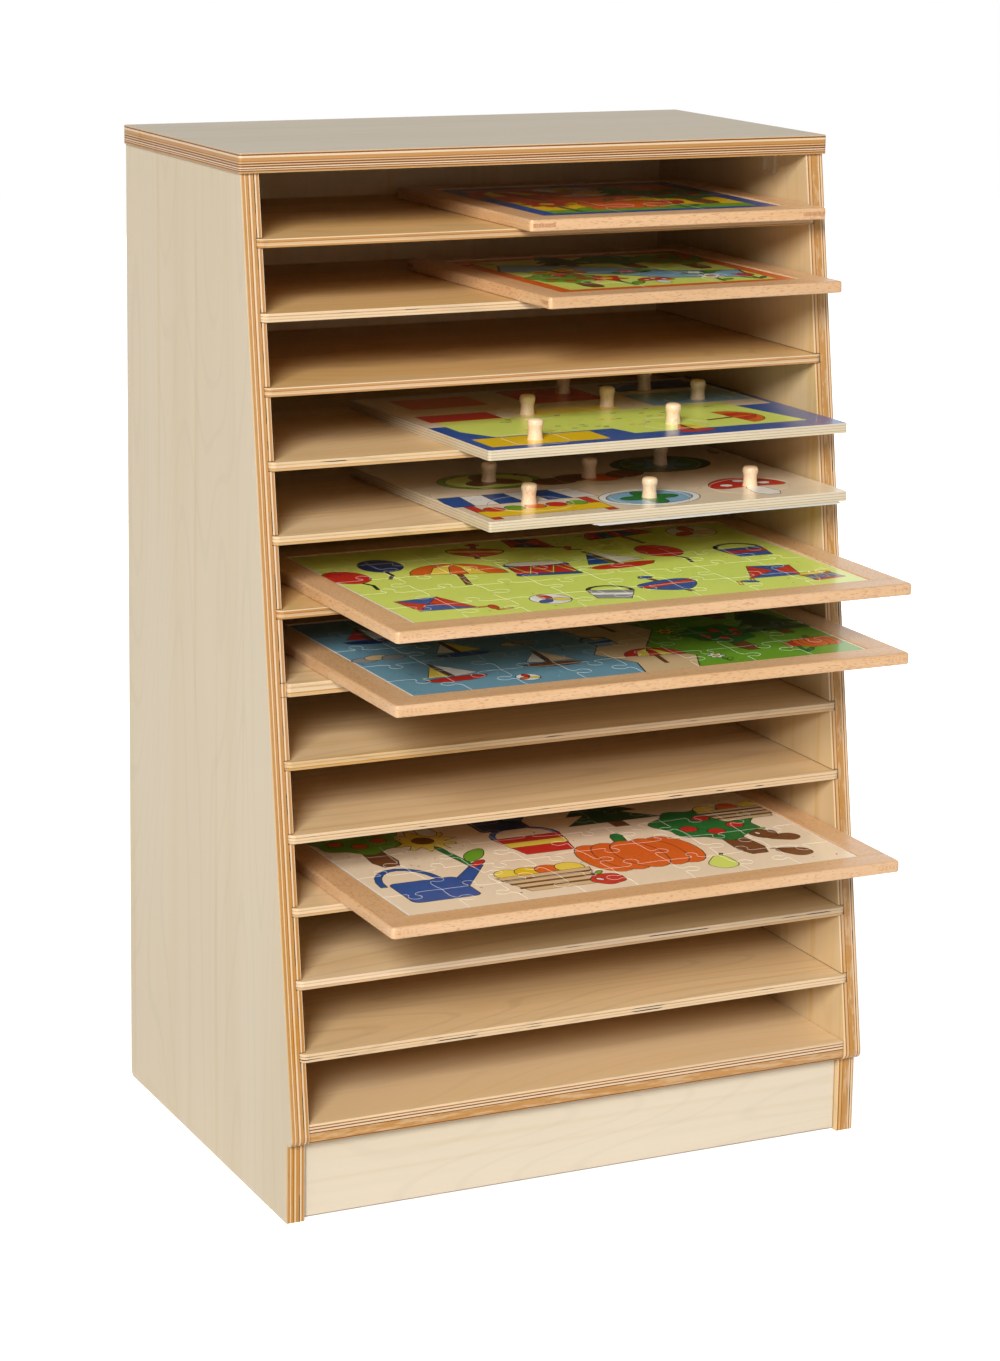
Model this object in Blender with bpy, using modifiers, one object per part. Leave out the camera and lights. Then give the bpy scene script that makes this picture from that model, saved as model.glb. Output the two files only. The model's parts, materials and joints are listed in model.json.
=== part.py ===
"""Puzzle storage rack: a slant-fronted plywood cabinet with thin shelves, framed puzzles and knob puzzles.

Metres, +Z up. X runs to the right, the front faces -Y, and the rack stands on z = 0.
"""

import math

import bmesh
import bpy
from mathutils import Vector

# Fits
GAP = 0.0003
PICTURE_ROOM = 0.0006
CUT_OUT_ROOM = 0.0007

# Sheet thicknesses
PANEL_THICK = 0.018
SHELF_THICK = 0.008
MIDDLE_SHELF_THICK = 0.012
BACK_THICK = 0.006
PLINTH_THICK = 0.018

# Side panels
RACK_WIDTH = 0.600
SIDE_HEIGHT = 0.948
SIDE_TOP_DEPTH = 0.300
SIDE_TOE_DEPTH = 0.429
LEG_DEPTH = 0.416
TOE_HEIGHT = 0.076
TOE_CORNER_RADIUS = 0.008
HEEL_CORNER_RADIUS = 0.007
PANEL_EASE = 0.0010

# Joints cut in the side panels
GROOVE_DEPTH = 0.006
REBATE_DEPTH = 0.008
CUTTER_REACH = 0.020

# Top, floor panel and plinth
TOP_SIDE_OVERHANG = 0.0025
TOP_FRONT_OVERHANG = 0.0040
TOP_CORNER_RADIUS = 0.0030
FLOOR_LIFT = 0.0020
FLOOR_SET_BACK = 0.0005
PLINTH_SET_BACK = 0.005
PLINTH_FLOOR_GAP = 0.002

# Shelves
SHELF_COUNT = 12
MIDDLE_SHELF = 7
SHELF_PROUD = 0.0045
SHELF_CORNER_RADIUS = 0.006
MIDDLE_CORNER_RADIUS = 0.003
SHELF_EASE = 0.0012

# Corner blocks
BLOCK_SIZE = (0.004, 0.022, 0.024)
BLOCK_FRONT_INSET = 0.052
BLOCK_REAR_INSET = 0.040
BLOCK_EASE = 0.0010

# Framed puzzles
FRAME_HEIGHT = 0.011
FRAME_RAIL = 0.028
FRAME_EASE = 0.0015
FRAME_CORNER_RADIUS = 0.0040
BACKING_THICK = 0.0030
BACKING_REBATE = 0.006
PICTURE_INSET = 0.0010
SMALL_WIDTH = 0.314
LARGE_SIDE_ROOM = 0.021
TRAY_BACK_ROOM = 0.002
TRAY_WALL_ROOM = 0.0012

# Knob puzzles
BOARD_WIDTH = 0.382
BOARD_THICK = 0.006
BOARD_EASE = 0.0008
BOARD_CORNER_RADIUS = 0.0030
PLAIN_INLAY_RADIUS = 0.038
PRINTED_INLAY_RADIUS = 0.030
LEAFLET_THICK = 0.0005
LEAFLET_WIDTH = 0.270
LEAFLET_DEPTH = 0.210
LEAFLET_SIDE_INSET = 0.008
LEAFLET_PROUD = 0.009

# Turned knobs
KNOB_HEIGHT = 0.0195
KNOB_FOOT_RADIUS = 0.0072
KNOB_NECK_RADIUS = 0.0061
KNOB_NECK_HEIGHT = 0.0075
KNOB_HEAD_RADIUS = 0.0075
KNOB_HEAD_HEIGHT = 0.0148
KNOB_CROWN_STEPS = 3
KNOB_SINK = 0.002
KNOB_SIDES = 12

# Smoothness of round outlines and eased edges
ARC_STEPS = 4
INLAY_POINTS = 30
EASE_STEPS = 2
EASE_FROM_ANGLE = math.radians(40)

# Meshes: points closer than this are one, and faces this flat to each other are one
POINT_MERGE = 1e-6
FLAT_ANGLE = 1e-4

# Puzzles: the shelf that carries each one, how far its front stands out past the shelf, and its turn
FRAMED_PUZZLES = (
    (1, "small", 0.032, 0.0),
    (2, "small", 0.060, 1.5),
    (6, "large", 0.157, 0.0),
    (7, "large", 0.147, 0.0),
    (10, "large", 0.114, 0.0),
)
KNOB_PUZZLES = (
    (4, 0.058, 1.5),
    (5, 0.052, 1.5),
)
LEAFLET_SHELF = 5
LARGE_TOP_SHELF = 6

# Inlay pieces by board: radius, then for each piece its place as shares of the board's width and depth,
# and the waves that shape the outline, each as (lobes, height as a share of the radius, turn in degrees)
INLAYS = {
    4: (PRINTED_INLAY_RADIUS, (
        ((0.176, 0.128), ((4, -0.085, 0.0),)),
        ((0.595, 0.210), ((3, 0.120, 90.0), (6, -0.030, 90.0))),
        ((0.322, 0.534), ()),
        ((0.567, 0.574), ((5, 0.110, 90.0),)),
        ((0.840, 0.587), ((2, 0.130, 0.0),)),
        ((0.560, 0.858), ((6, 0.090, 0.0),)),
        ((0.785, 0.820), ((4, 0.100, 0.0),)),
    )),
    5: (PLAIN_INLAY_RADIUS, (
        ((0.195, 0.219), ((1, 0.050, -90.0), (2, -0.070, 90.0), (3, 0.030, 90.0))),
        ((0.505, 0.160), ()),
        ((0.812, 0.200), ((2, 0.130, 20.0),)),
        ((0.236, 0.593), ((3, 0.105, -90.0), (2, 0.045, 90.0))),
        ((0.493, 0.525), ((2, 0.085, 90.0), (1, -0.110, 90.0))),
        ((0.751, 0.639), ((2, -0.060, 90.0),)),
    )),
}

# Colours, and roughness of the finishes
PLY_VENEER = (0.77, 0.63, 0.43)
BIRCH = (0.80, 0.68, 0.50)
BEECH = (0.74, 0.49, 0.29)
CARD = (0.90, 0.89, 0.86)
CLEAR_PLASTIC = (0.80, 0.82, 0.82)
PICTURE_COLOURS = {
    1: (0.03, 0.12, 0.42),
    2: (0.75, 0.25, 0.05),
    6: (0.48, 0.63, 0.15),
    7: (0.16, 0.33, 0.42),
    10: (0.78, 0.66, 0.47),
}
BOARD_COLOURS = {4: (0.03, 0.15, 0.42), 5: (0.78, 0.66, 0.47)}
INLAY_COLOURS = ((0.80, 0.55, 0.03), (0.62, 0.08, 0.04), (0.12, 0.40, 0.08), (0.05, 0.20, 0.55))
LACQUERED = 0.45
SANDED = 0.6
PRINTED = 0.35
MOULDED = 0.3

# Values worked out from the sizes above
INNER_HALF = RACK_WIDTH / 2 - PANEL_THICK
SLANT = (SIDE_TOE_DEPTH - SIDE_TOP_DEPTH) / (SIDE_HEIGHT - TOE_HEIGHT)
FLOOR_UNDERSIDE = TOE_HEIGHT + FLOOR_LIFT
FLOOR_TOP = FLOOR_UNDERSIDE + PANEL_THICK
SHELF_SUM = (SHELF_COUNT - 1) * SHELF_THICK + MIDDLE_SHELF_THICK
CLEAR_HEIGHT = (SIDE_HEIGHT - FLOOR_TOP - SHELF_SUM) / (SHELF_COUNT + 1)


def edge_depth(z):
    """Distance of the slanted front edge from the back, at height z."""
    return SIDE_TOP_DEPTH + (SIDE_HEIGHT - z) * SLANT


def shelf_thickness(number):
    return MIDDLE_SHELF_THICK if number == MIDDLE_SHELF else SHELF_THICK


def shelf_top(number):
    """Height of a shelf's upper face. Shelf 1 is the highest."""
    above = sum(shelf_thickness(other) for other in range(1, number))
    return SIDE_HEIGHT - number * CLEAR_HEIGHT - above


def shelf_front(number):
    """Distance of a shelf's front edge from the back."""
    return edge_depth(shelf_top(number)) + SHELF_PROUD


def tray_depth(number):
    """Depth of a puzzle that stays behind the slanted edge over this shelf."""
    return edge_depth(shelf_top(number)) - BACK_THICK - TRAY_BACK_ROOM


# The middle of the whole object, front to back, is the origin
FARTHEST_FRONT = max(shelf_front(number) + out for number, _, out, _ in FRAMED_PUZZLES)
BACK_Y = FARTHEST_FRONT / 2


def clear_scene():
    for obj in list(bpy.data.objects):
        bpy.data.objects.remove(obj)


def new_collection(name):
    collection = bpy.data.collections.new(name)
    bpy.context.scene.collection.children.link(collection)
    return collection


def new_material(name, colour, roughness):
    material = bpy.data.materials.new(name)
    material.use_nodes = True
    shader = material.node_tree.nodes["Principled BSDF"]
    shader.inputs["Base Color"].default_value = (*colour, 1.0)
    shader.inputs["Roughness"].default_value = roughness
    shader.inputs["Metallic"].default_value = 0.0
    return material


def fillet(corners):
    """Closed outline through (x, y, radius) corners, each rounded by an arc of its radius."""
    outline = []
    for index, (x, y, radius) in enumerate(corners):
        corner = Vector((x, y))
        if not radius:
            outline.append(corner)
            continue
        to_last = (Vector(corners[index - 1][:2]) - corner).normalized()
        to_next = (Vector(corners[(index + 1) % len(corners)][:2]) - corner).normalized()
        half_angle = to_last.angle(to_next) / 2
        middle = (to_last + to_next).normalized()
        centre = corner + middle * (radius / math.sin(half_angle))
        start = corner + to_last * (radius / math.tan(half_angle)) - centre
        end = corner + to_next * (radius / math.tan(half_angle)) - centre
        sweep = start.angle_signed(end)
        for step in range(ARC_STEPS + 1):
            turn = -sweep * step / ARC_STEPS
            outline.append(centre + Vector((
                start.x * math.cos(turn) - start.y * math.sin(turn),
                start.x * math.sin(turn) + start.y * math.cos(turn),
            )))
    return outline


def rectangle(left, right, front, back, front_radius=0.0, back_radius=0.0):
    return fillet((
        (left, front, front_radius),
        (right, front, front_radius),
        (right, back, back_radius),
        (left, back, back_radius),
    ))


def wave_outline(radius, waves):
    """Round outline whose radius swells and shrinks with each wave."""
    outline = []
    for point in range(INLAY_POINTS):
        angle = 2 * math.pi * point / INLAY_POINTS
        swell = sum(height * math.cos(lobes * (angle - math.radians(turn))) for lobes, height, turn in waves)
        reach = radius * (1 + swell)
        outline.append(Vector((reach * math.cos(angle), reach * math.sin(angle))))
    return outline


def prism_mesh(name, outlines, low, high):
    """Mesh of flat outlines, raised from low to high along Z, each a body of its own."""
    curve = bpy.data.curves.new(name, "CURVE")
    curve.dimensions = "2D"
    curve.fill_mode = "BOTH"
    curve.extrude = (high - low) / 2
    for outline in outlines:
        spline = curve.splines.new("POLY")
        spline.points.add(len(outline) - 1)
        for point, place in zip(spline.points, outline):
            point.co = (place.x, place.y, 0.0, 1.0)
        spline.use_cyclic_u = True
    guide = bpy.data.objects.new(name, curve)
    bpy.context.scene.collection.objects.link(guide)
    graph = bpy.context.evaluated_depsgraph_get()
    mesh = bpy.data.meshes.new_from_object(guide.evaluated_get(graph))
    bpy.data.objects.remove(guide)
    bpy.data.curves.remove(curve)
    mesh.name = name
    shape = bmesh.new()
    shape.from_mesh(mesh)
    bmesh.ops.remove_doubles(shape, verts=shape.verts, dist=POINT_MERGE)
    bmesh.ops.dissolve_limit(shape, angle_limit=FLAT_ANGLE, verts=shape.verts, edges=shape.edges)
    bmesh.ops.translate(shape, verts=shape.verts, vec=(0.0, 0.0, (low + high) / 2))
    bmesh.ops.recalc_face_normals(shape, faces=shape.faces)
    shape.to_mesh(mesh)
    shape.free()
    return mesh


def box_mesh(name, low, high):
    """Mesh of a box between two corners."""
    low, high = Vector(low), Vector(high)
    shape = bmesh.new()
    bmesh.ops.create_cube(shape, size=1.0)
    bmesh.ops.scale(shape, verts=shape.verts, vec=high - low)
    bmesh.ops.translate(shape, verts=shape.verts, vec=(low + high) / 2)
    mesh = bpy.data.meshes.new(name)
    shape.to_mesh(mesh)
    shape.free()
    return mesh


def place(name, mesh, material, parent, location=(0.0, 0.0, 0.0)):
    """Part made of a mesh, hung on its parent empty."""
    part = bpy.data.objects.new(name, mesh)
    part.data.materials.append(material)
    part.parent = parent
    part.location = location
    PARTS.objects.link(part)
    return part


def cut(part, mesh):
    """Takes a mesh, given in the part's own space, out of the part."""
    cutter = bpy.data.objects.new(mesh.name, mesh)
    cutter.parent = part
    cutter.hide_render = True
    cutter.display_type = "WIRE"
    CUTTERS.objects.link(cutter)
    modifier = part.modifiers.new(mesh.name, "BOOLEAN")
    modifier.operation = "DIFFERENCE"
    modifier.solver = "EXACT"
    modifier.object = cutter


def ease(part, width):
    """Breaks the part's sharp edges with a small round."""
    modifier = part.modifiers.new("eased_edges", "BEVEL")
    modifier.width = width
    modifier.segments = EASE_STEPS
    modifier.limit_method = "ANGLE"
    modifier.angle_limit = EASE_FROM_ANGLE


def empty(name, parent=None, location=(0.0, 0.0, 0.0), turn=0.0):
    guide = bpy.data.objects.new(name, None)
    guide.parent = parent
    guide.location = location
    guide.rotation_euler = (0.0, 0.0, math.radians(turn))
    PARTS.objects.link(guide)
    return guide


def side_panel(name, hand):
    """Upright side. Its sheet lies in the YZ plane; hand is -1 for the left one and 1 for the right one."""
    outline = fillet((
        (0.0, 0.0, HEEL_CORNER_RADIUS),
        (0.0, SIDE_HEIGHT, 0.0),
        (-SIDE_TOP_DEPTH, SIDE_HEIGHT, 0.0),
        (-SIDE_TOE_DEPTH, TOE_HEIGHT, TOE_CORNER_RADIUS),
        (-LEG_DEPTH, TOE_HEIGHT, 0.0),
        (-LEG_DEPTH, 0.0, 0.0),
    ))
    half = PANEL_THICK / 2
    middle = hand * (RACK_WIDTH / 2 - half)
    panel = place(name, prism_mesh(name, [outline], -half, half), PLY, RACK, (middle, 0.0, 0.0))
    panel.rotation_euler = (math.pi / 2, 0.0, math.pi / 2)
    ease(panel, PANEL_EASE)
    # In the panel's own space x is depth, y is height and z is thickness; the inner face is at -hand * half
    inner = -hand * half

    def slot(label, depth, back_to, front_to, low, high):
        reach = sorted((inner - hand * CUTTER_REACH, inner + hand * depth))
        return box_mesh(label, (front_to, low, reach[0]), (back_to, high, reach[1]))

    rebate = slot(name + "_rebate", REBATE_DEPTH, CUTTER_REACH, -BACK_THICK - GAP, FLOOR_UNDERSIDE,
                  SIDE_HEIGHT + CUTTER_REACH)
    cut(panel, rebate)
    for number in range(1, SHELF_COUNT + 1):
        if number == MIDDLE_SHELF:
            continue
        top = shelf_top(number)
        groove = slot(f"{name}_groove_{number:02d}", GROOVE_DEPTH, CUTTER_REACH,
                      -SIDE_TOE_DEPTH - CUTTER_REACH, top - SHELF_THICK - GAP, top + GAP)
        cut(panel, groove)


def top_panel():
    half = RACK_WIDTH / 2 + TOP_SIDE_OVERHANG
    outline = rectangle(-half, half, -SIDE_TOP_DEPTH - TOP_FRONT_OVERHANG, 0.0,
                        TOP_CORNER_RADIUS, TOP_CORNER_RADIUS)
    low = SIDE_HEIGHT + GAP
    top = place("top_panel", prism_mesh("top_panel", [outline], low, low + PANEL_THICK), PLY, RACK)
    ease(top, PANEL_EASE)


def floor_panel():
    half = INNER_HALF - GAP
    front = -edge_depth(FLOOR_TOP) + FLOOR_SET_BACK
    mesh = box_mesh("floor_panel", (-half, front, FLOOR_UNDERSIDE), (half, -BACK_THICK - GAP, FLOOR_TOP))
    ease(place("floor_panel", mesh, PLY, RACK), PANEL_EASE)


def plinths():
    half = INNER_HALF - GAP
    high = FLOOR_UNDERSIDE - GAP
    front = -LEG_DEPTH + PLINTH_SET_BACK
    for name, low_y in (("plinth_front", front), ("plinth_rear", -PLINTH_THICK)):
        mesh = box_mesh(name, (-half, low_y, PLINTH_FLOOR_GAP), (half, low_y + PLINTH_THICK, high))
        ease(place(name, mesh, VENEER, RACK), PANEL_EASE)


def back_panel():
    half = INNER_HALF + REBATE_DEPTH - GAP
    mesh = box_mesh("back_panel", (-half, -BACK_THICK, FLOOR_UNDERSIDE + GAP), (half, 0.0, SIDE_HEIGHT))
    place("back_panel", mesh, VENEER, RACK)


def shelves():
    for number in range(1, SHELF_COUNT + 1):
        name = f"shelf_{number:02d}"
        in_groove = number != MIDDLE_SHELF
        half = INNER_HALF - GAP + (GROOVE_DEPTH if in_groove else 0.0)
        radius = SHELF_CORNER_RADIUS if in_groove else MIDDLE_CORNER_RADIUS
        outline = rectangle(-half, half, -shelf_front(number), -BACK_THICK - GAP, radius)
        top = shelf_top(number)
        mesh = prism_mesh(name, [outline], top - shelf_thickness(number), top)
        ease(place(name, mesh, SHELF_PLY, RACK), SHELF_EASE)


def corner_blocks():
    """Fixing blocks in the corners under the top and under the floor panel."""
    width, depth, height = BLOCK_SIZE
    floor_front = -LEG_DEPTH + PLINTH_SET_BACK + PLINTH_THICK + BLOCK_FRONT_INSET
    levels = (
        ("top", SIDE_HEIGHT, -SIDE_TOP_DEPTH + BLOCK_FRONT_INSET, -BACK_THICK - BLOCK_REAR_INSET),
        ("floor", FLOOR_UNDERSIDE - GAP, floor_front, -PLINTH_THICK - BLOCK_REAR_INSET),
    )
    for level, high, front_y, rear_y in levels:
        for end, low_y in (("front", front_y), ("rear", rear_y - depth)):
            for side, hand in (("left", -1), ("right", 1)):
                name = f"corner_block_{level}_{end}_{side}"
                across = sorted((hand * (INNER_HALF - GAP), hand * (INNER_HALF - GAP - width)))
                mesh = box_mesh(name, (across[0], low_y, high - height), (across[1], low_y + depth, high))
                ease(place(name, mesh, BLOCK_PLASTIC, RACK), BLOCK_EASE)


def tray_origin(name, shelf, width, out, turn, lift=GAP):
    """Empty at the middle of a puzzle's lower front edge, on the line that it slides along."""
    right = INNER_HALF - TRAY_WALL_ROOM
    return empty(name, RACK, (right - width / 2, -shelf_front(shelf) - out, shelf_top(shelf) + lift), turn)


def framed_puzzle(shelf, size, out, turn):
    name = f"puzzle_{shelf:02d}"
    if size == "large":
        width = 2 * (INNER_HALF - LARGE_SIDE_ROOM)
        depth = tray_depth(LARGE_TOP_SHELF)
    else:
        width = SMALL_WIDTH
        depth = tray_depth(1)
    origin = tray_origin(name, shelf, width, out, turn)
    half = width / 2

    def inset(by):
        return rectangle(-half + by, half - by, by, depth - by)

    outer = rectangle(-half, half, 0.0, depth, FRAME_CORNER_RADIUS, FRAME_CORNER_RADIUS)
    frame_mesh = prism_mesh(name + "_frame", [outer], 0.0, FRAME_HEIGHT)
    frame = place(name + "_frame", frame_mesh, FRAME_WOOD, origin)
    ease(frame, FRAME_EASE)
    opening = prism_mesh(name + "_opening", [inset(FRAME_RAIL)], -CUTTER_REACH, FRAME_HEIGHT + CUTTER_REACH)
    cut(frame, opening)
    seat = FRAME_RAIL - BACKING_REBATE
    backing_seat = prism_mesh(name + "_backing_seat", [inset(seat)], -CUTTER_REACH, BACKING_THICK + GAP)
    cut(frame, backing_seat)
    backing = prism_mesh(name + "_backing", [inset(seat + GAP)], GAP, BACKING_THICK)
    place(name + "_backing", backing, VENEER, origin)
    picture_top = FRAME_HEIGHT - PICTURE_INSET
    picture_outline = inset(FRAME_RAIL + PICTURE_ROOM)
    picture = prism_mesh(name + "_picture", [picture_outline], BACKING_THICK + GAP, picture_top)
    place(name + "_picture", picture, PICTURES[shelf], origin)


def knob_profile():
    """Half outline of a knob in the XZ plane, from its crown down to its foot inside the inlay."""
    crown = KNOB_HEIGHT - KNOB_HEAD_HEIGHT
    profile = []
    for step in range(1, KNOB_CROWN_STEPS + 1):
        angle = math.pi / 2 * (1 - step / KNOB_CROWN_STEPS)
        profile.append((KNOB_HEAD_RADIUS * math.cos(angle), KNOB_HEAD_HEIGHT + crown * math.sin(angle)))
    profile.append((KNOB_NECK_RADIUS, KNOB_NECK_HEIGHT))
    profile.append((KNOB_FOOT_RADIUS, 0.0))
    profile.append((KNOB_FOOT_RADIUS, -KNOB_SINK))
    return [(0.0, KNOB_HEIGHT), *profile, (0.0, -KNOB_SINK)]


def knob_mesh(name):
    """Turned knob, standing on z = 0 with its foot below."""
    mesh = bpy.data.meshes.new(name)
    points = [(x, 0.0, z) for x, z in knob_profile()]
    mesh.from_pydata(points, [(i, i + 1) for i in range(len(points) - 1)], [])
    guide = bpy.data.objects.new(name, mesh)
    bpy.context.scene.collection.objects.link(guide)
    screw = guide.modifiers.new("turned", "SCREW")
    screw.steps = KNOB_SIDES
    screw.render_steps = KNOB_SIDES
    screw.use_merge_vertices = True
    screw.merge_threshold = POINT_MERGE
    graph = bpy.context.evaluated_depsgraph_get()
    turned = bpy.data.meshes.new_from_object(guide.evaluated_get(graph))
    bpy.data.objects.remove(guide)
    bpy.data.meshes.remove(mesh)
    turned.name = name
    return turned


def knob_piece(name, origin, centre, radius, waves, colour):
    """Inlay with its knob, in one piece. Its origin is on the line that it lifts along."""
    low = BACKING_THICK + GAP
    mesh = prism_mesh(name, [wave_outline(radius, waves)], 0.0, BOARD_THICK)
    piece = place(name, mesh, colour, origin, (*centre, low))
    knob = bpy.data.objects.new(name + "_knob", knob_mesh(name + "_knob"))
    knob.parent = piece
    knob.location = (0.0, 0.0, BOARD_THICK)
    knob.hide_render = True
    knob.display_type = "WIRE"
    CUTTERS.objects.link(knob)
    joined = piece.modifiers.new("knob", "BOOLEAN")
    joined.operation = "UNION"
    joined.solver = "EXACT"
    joined.object = knob


def knob_puzzle(shelf, out, turn):
    name = f"knob_puzzle_{shelf:02d}"
    lift = GAP + (LEAFLET_THICK + GAP if shelf == LEAFLET_SHELF else 0.0)
    origin = tray_origin(name, shelf, BOARD_WIDTH, out, turn, lift)
    depth = tray_depth(1)
    half = BOARD_WIDTH / 2
    outline = rectangle(-half, half, 0.0, depth, BOARD_CORNER_RADIUS, BOARD_CORNER_RADIUS)
    place(name + "_backing", prism_mesh(name + "_backing", [outline], 0.0, BACKING_THICK), BIRCH_PLY, origin)
    low = BACKING_THICK + GAP
    high = low + BOARD_THICK
    face = place(name + "_face", prism_mesh(name + "_face", [outline], low, high), BOARDS[shelf], origin)
    ease(face, BOARD_EASE)
    radius, pieces = INLAYS[shelf]
    for index, ((across, back), waves) in enumerate(pieces):
        centre = (across * BOARD_WIDTH - half, back * depth)
        hole = [point * (1 + CUT_OUT_ROOM / radius) + Vector(centre) for point in wave_outline(radius, waves)]
        number = index + 1
        cut(face, prism_mesh(f"{name}_cut_out_{number}", [hole], low - CUTTER_REACH, high + CUTTER_REACH))
        colour = INLAY_PAINTS[index % len(INLAY_PAINTS)]
        knob_piece(f"knob_piece_{shelf:02d}_{number}", origin, centre, radius, waves, colour)
    if shelf == LEAFLET_SHELF:
        leaflet(origin, half)


def leaflet(origin, half):
    """Card that lies between the board and the shelf and shows along the front."""
    right = half - LEAFLET_SIDE_INSET
    outline = rectangle(right - LEAFLET_WIDTH, right, -LEAFLET_PROUD, LEAFLET_DEPTH)
    mesh = prism_mesh("leaflet", [outline], -LEAFLET_THICK - GAP, -GAP)
    place("leaflet", mesh, LEAFLET_CARD, origin)


clear_scene()
PARTS = new_collection("puzzle_storage_rack")
CUTTERS = new_collection("cutters")
CUTTERS.hide_render = True

PLY = new_material("plywood_panel", PLY_VENEER, LACQUERED)
SHELF_PLY = new_material("plywood_shelf", BIRCH, LACQUERED)
VENEER = new_material("plywood_sheet", PLY_VENEER, SANDED)
BIRCH_PLY = new_material("birch_backing", BIRCH, SANDED)
FRAME_WOOD = new_material("beech_frame", BEECH, LACQUERED)
BLOCK_PLASTIC = new_material("clear_plastic", CLEAR_PLASTIC, MOULDED)
LEAFLET_CARD = new_material("leaflet_card", CARD, SANDED)
PICTURES = {
    shelf: new_material(f"picture_{shelf:02d}", colour, PRINTED) for shelf, colour in PICTURE_COLOURS.items()
}
BOARDS = {
    shelf: new_material(f"board_{shelf:02d}", colour, PRINTED) for shelf, colour in BOARD_COLOURS.items()
}
INLAY_PAINTS = [
    new_material(f"inlay_paint_{number}", colour, PRINTED) for number, colour in enumerate(INLAY_COLOURS, 1)
]

RACK = empty("rack", None, (0.0, BACK_Y, 0.0))
side_panel("side_panel_left", -1)
side_panel("side_panel_right", 1)
top_panel()
floor_panel()
plinths()
back_panel()
shelves()
corner_blocks()
for puzzle in FRAMED_PUZZLES:
    framed_puzzle(*puzzle)
for puzzle in KNOB_PUZZLES:
    knob_puzzle(*puzzle)
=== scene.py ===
"""Looks of the puzzle storage rack: a pale plywood cabinet, beech framed jigsaw puzzles and knob puzzles."""

import json
import math
import random

import bmesh
import bpy
from mathutils import Matrix, Vector
from mathutils.geometry import delaunay_2d_cdt


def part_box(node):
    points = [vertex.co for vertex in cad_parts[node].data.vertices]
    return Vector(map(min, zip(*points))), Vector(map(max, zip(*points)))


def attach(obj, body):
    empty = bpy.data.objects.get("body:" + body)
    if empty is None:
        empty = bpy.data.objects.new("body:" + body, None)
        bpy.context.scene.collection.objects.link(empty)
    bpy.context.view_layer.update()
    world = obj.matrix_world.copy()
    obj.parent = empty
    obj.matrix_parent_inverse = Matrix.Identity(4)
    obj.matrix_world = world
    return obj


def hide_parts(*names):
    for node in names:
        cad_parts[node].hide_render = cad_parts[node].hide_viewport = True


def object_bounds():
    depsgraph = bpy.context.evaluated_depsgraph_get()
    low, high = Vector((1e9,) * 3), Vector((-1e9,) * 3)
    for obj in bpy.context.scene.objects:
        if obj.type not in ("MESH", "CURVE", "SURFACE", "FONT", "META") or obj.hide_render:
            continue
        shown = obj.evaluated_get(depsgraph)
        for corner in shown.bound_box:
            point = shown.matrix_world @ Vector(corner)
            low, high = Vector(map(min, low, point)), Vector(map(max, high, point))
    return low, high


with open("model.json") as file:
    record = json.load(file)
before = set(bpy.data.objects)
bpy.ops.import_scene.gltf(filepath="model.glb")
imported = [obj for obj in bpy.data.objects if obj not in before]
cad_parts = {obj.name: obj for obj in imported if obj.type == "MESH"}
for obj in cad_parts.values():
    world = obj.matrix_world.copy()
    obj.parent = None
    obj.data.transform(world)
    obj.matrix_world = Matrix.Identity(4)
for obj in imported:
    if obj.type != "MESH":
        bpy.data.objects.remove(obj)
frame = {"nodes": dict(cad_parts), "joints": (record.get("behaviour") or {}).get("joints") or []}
CAD_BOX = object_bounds()
NODES = frame["nodes"]
SHELVES = sorted(node for node in NODES if node.startswith("shelf_"))
MM = 0.001

# Camera: place in metres, turn in degrees, lens and sensor in millimetres
CAMERA_PLACE = (-1.4314, -2.9096, 1.2624)
CAMERA_TURN = (78.827, -0.664, -24.759)
CAMERA_LENS = 91.67
CAMERA_SENSOR = 36.0
CAMERA_SHIFT = (0.0441, -0.1326)

# Lamps: azimuth and elevation in degrees as seen from the rack, distance and size in metres, power in watts
LAMPS = {
    "key": (-37.0, 26.5, 12.0, 3.6, 1820.0),
    "fill": (15.0, 45.0, 3.6, 2.0, 10.0),
    "rear": (120.0, 8.0, 3.6, 2.0, 42.0),
}
SKY_LIGHT = 0.17

# Floor, with sizes in metres. The white that the camera sees on it rises from the lift to 1 between a near
# and a far distance and reaches a little under the plinth. The floor also glows a little for all rays, which
# is painted light on the rack from below
FLOOR_SIZE = 14.0
FLOOR_GREY = 0.85
FLOOR_LIFT = 0.70
FLOOR_NEAR = 0.5
FLOOR_FAR = 1.5
FLOOR_UNDER_PLINTH = 0.004
FLOOR_GLOW = 0.06


def tint(red, green, blue):
    """Screen colour, 0 to 255, as linear light."""
    shares = (red / 255, green / 255, blue / 255)
    return tuple(s / 12.92 if s <= 0.04045 else ((s + 0.055) / 1.055) ** 2.4 for s in shares)


# Woods
VENEER = tint(192, 176, 149)
TOP_VENEER = tint(182, 168, 144)
PLINTH_VENEER = tint(197, 184, 162)
INNER_VENEER = tint(208, 180, 136)
SHELF_VENEER = tint(220, 189, 144)
BACK_VENEER = tint(238, 212, 170)
GOLD_VENEER = tint(210, 171, 113)
CREAM = tint(203, 178, 145)
PALE = tint(188, 154, 111)
HONEY = tint(168, 122, 67)
AMBER = tint(144, 91, 38)
GLUE = tint(108, 60, 23)
# Dark of the voids in the plies, also used for the painted shade in the shelves' joints
VOID_AND_JOINT_SHADE = tint(40, 26, 13)
BEECH = tint(202, 161, 117)
BEECH_FLECK = tint(150, 98, 58)
END_GRAIN = tint(176, 124, 80)
END_PORES = tint(142, 92, 54)
KNOB_WOOD = tint(222, 194, 158)
NATURAL = tint(234, 216, 186)
FINE_PLY = tint(194, 180, 153)
FINE_PLY_LINE = tint(160, 136, 104)

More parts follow.
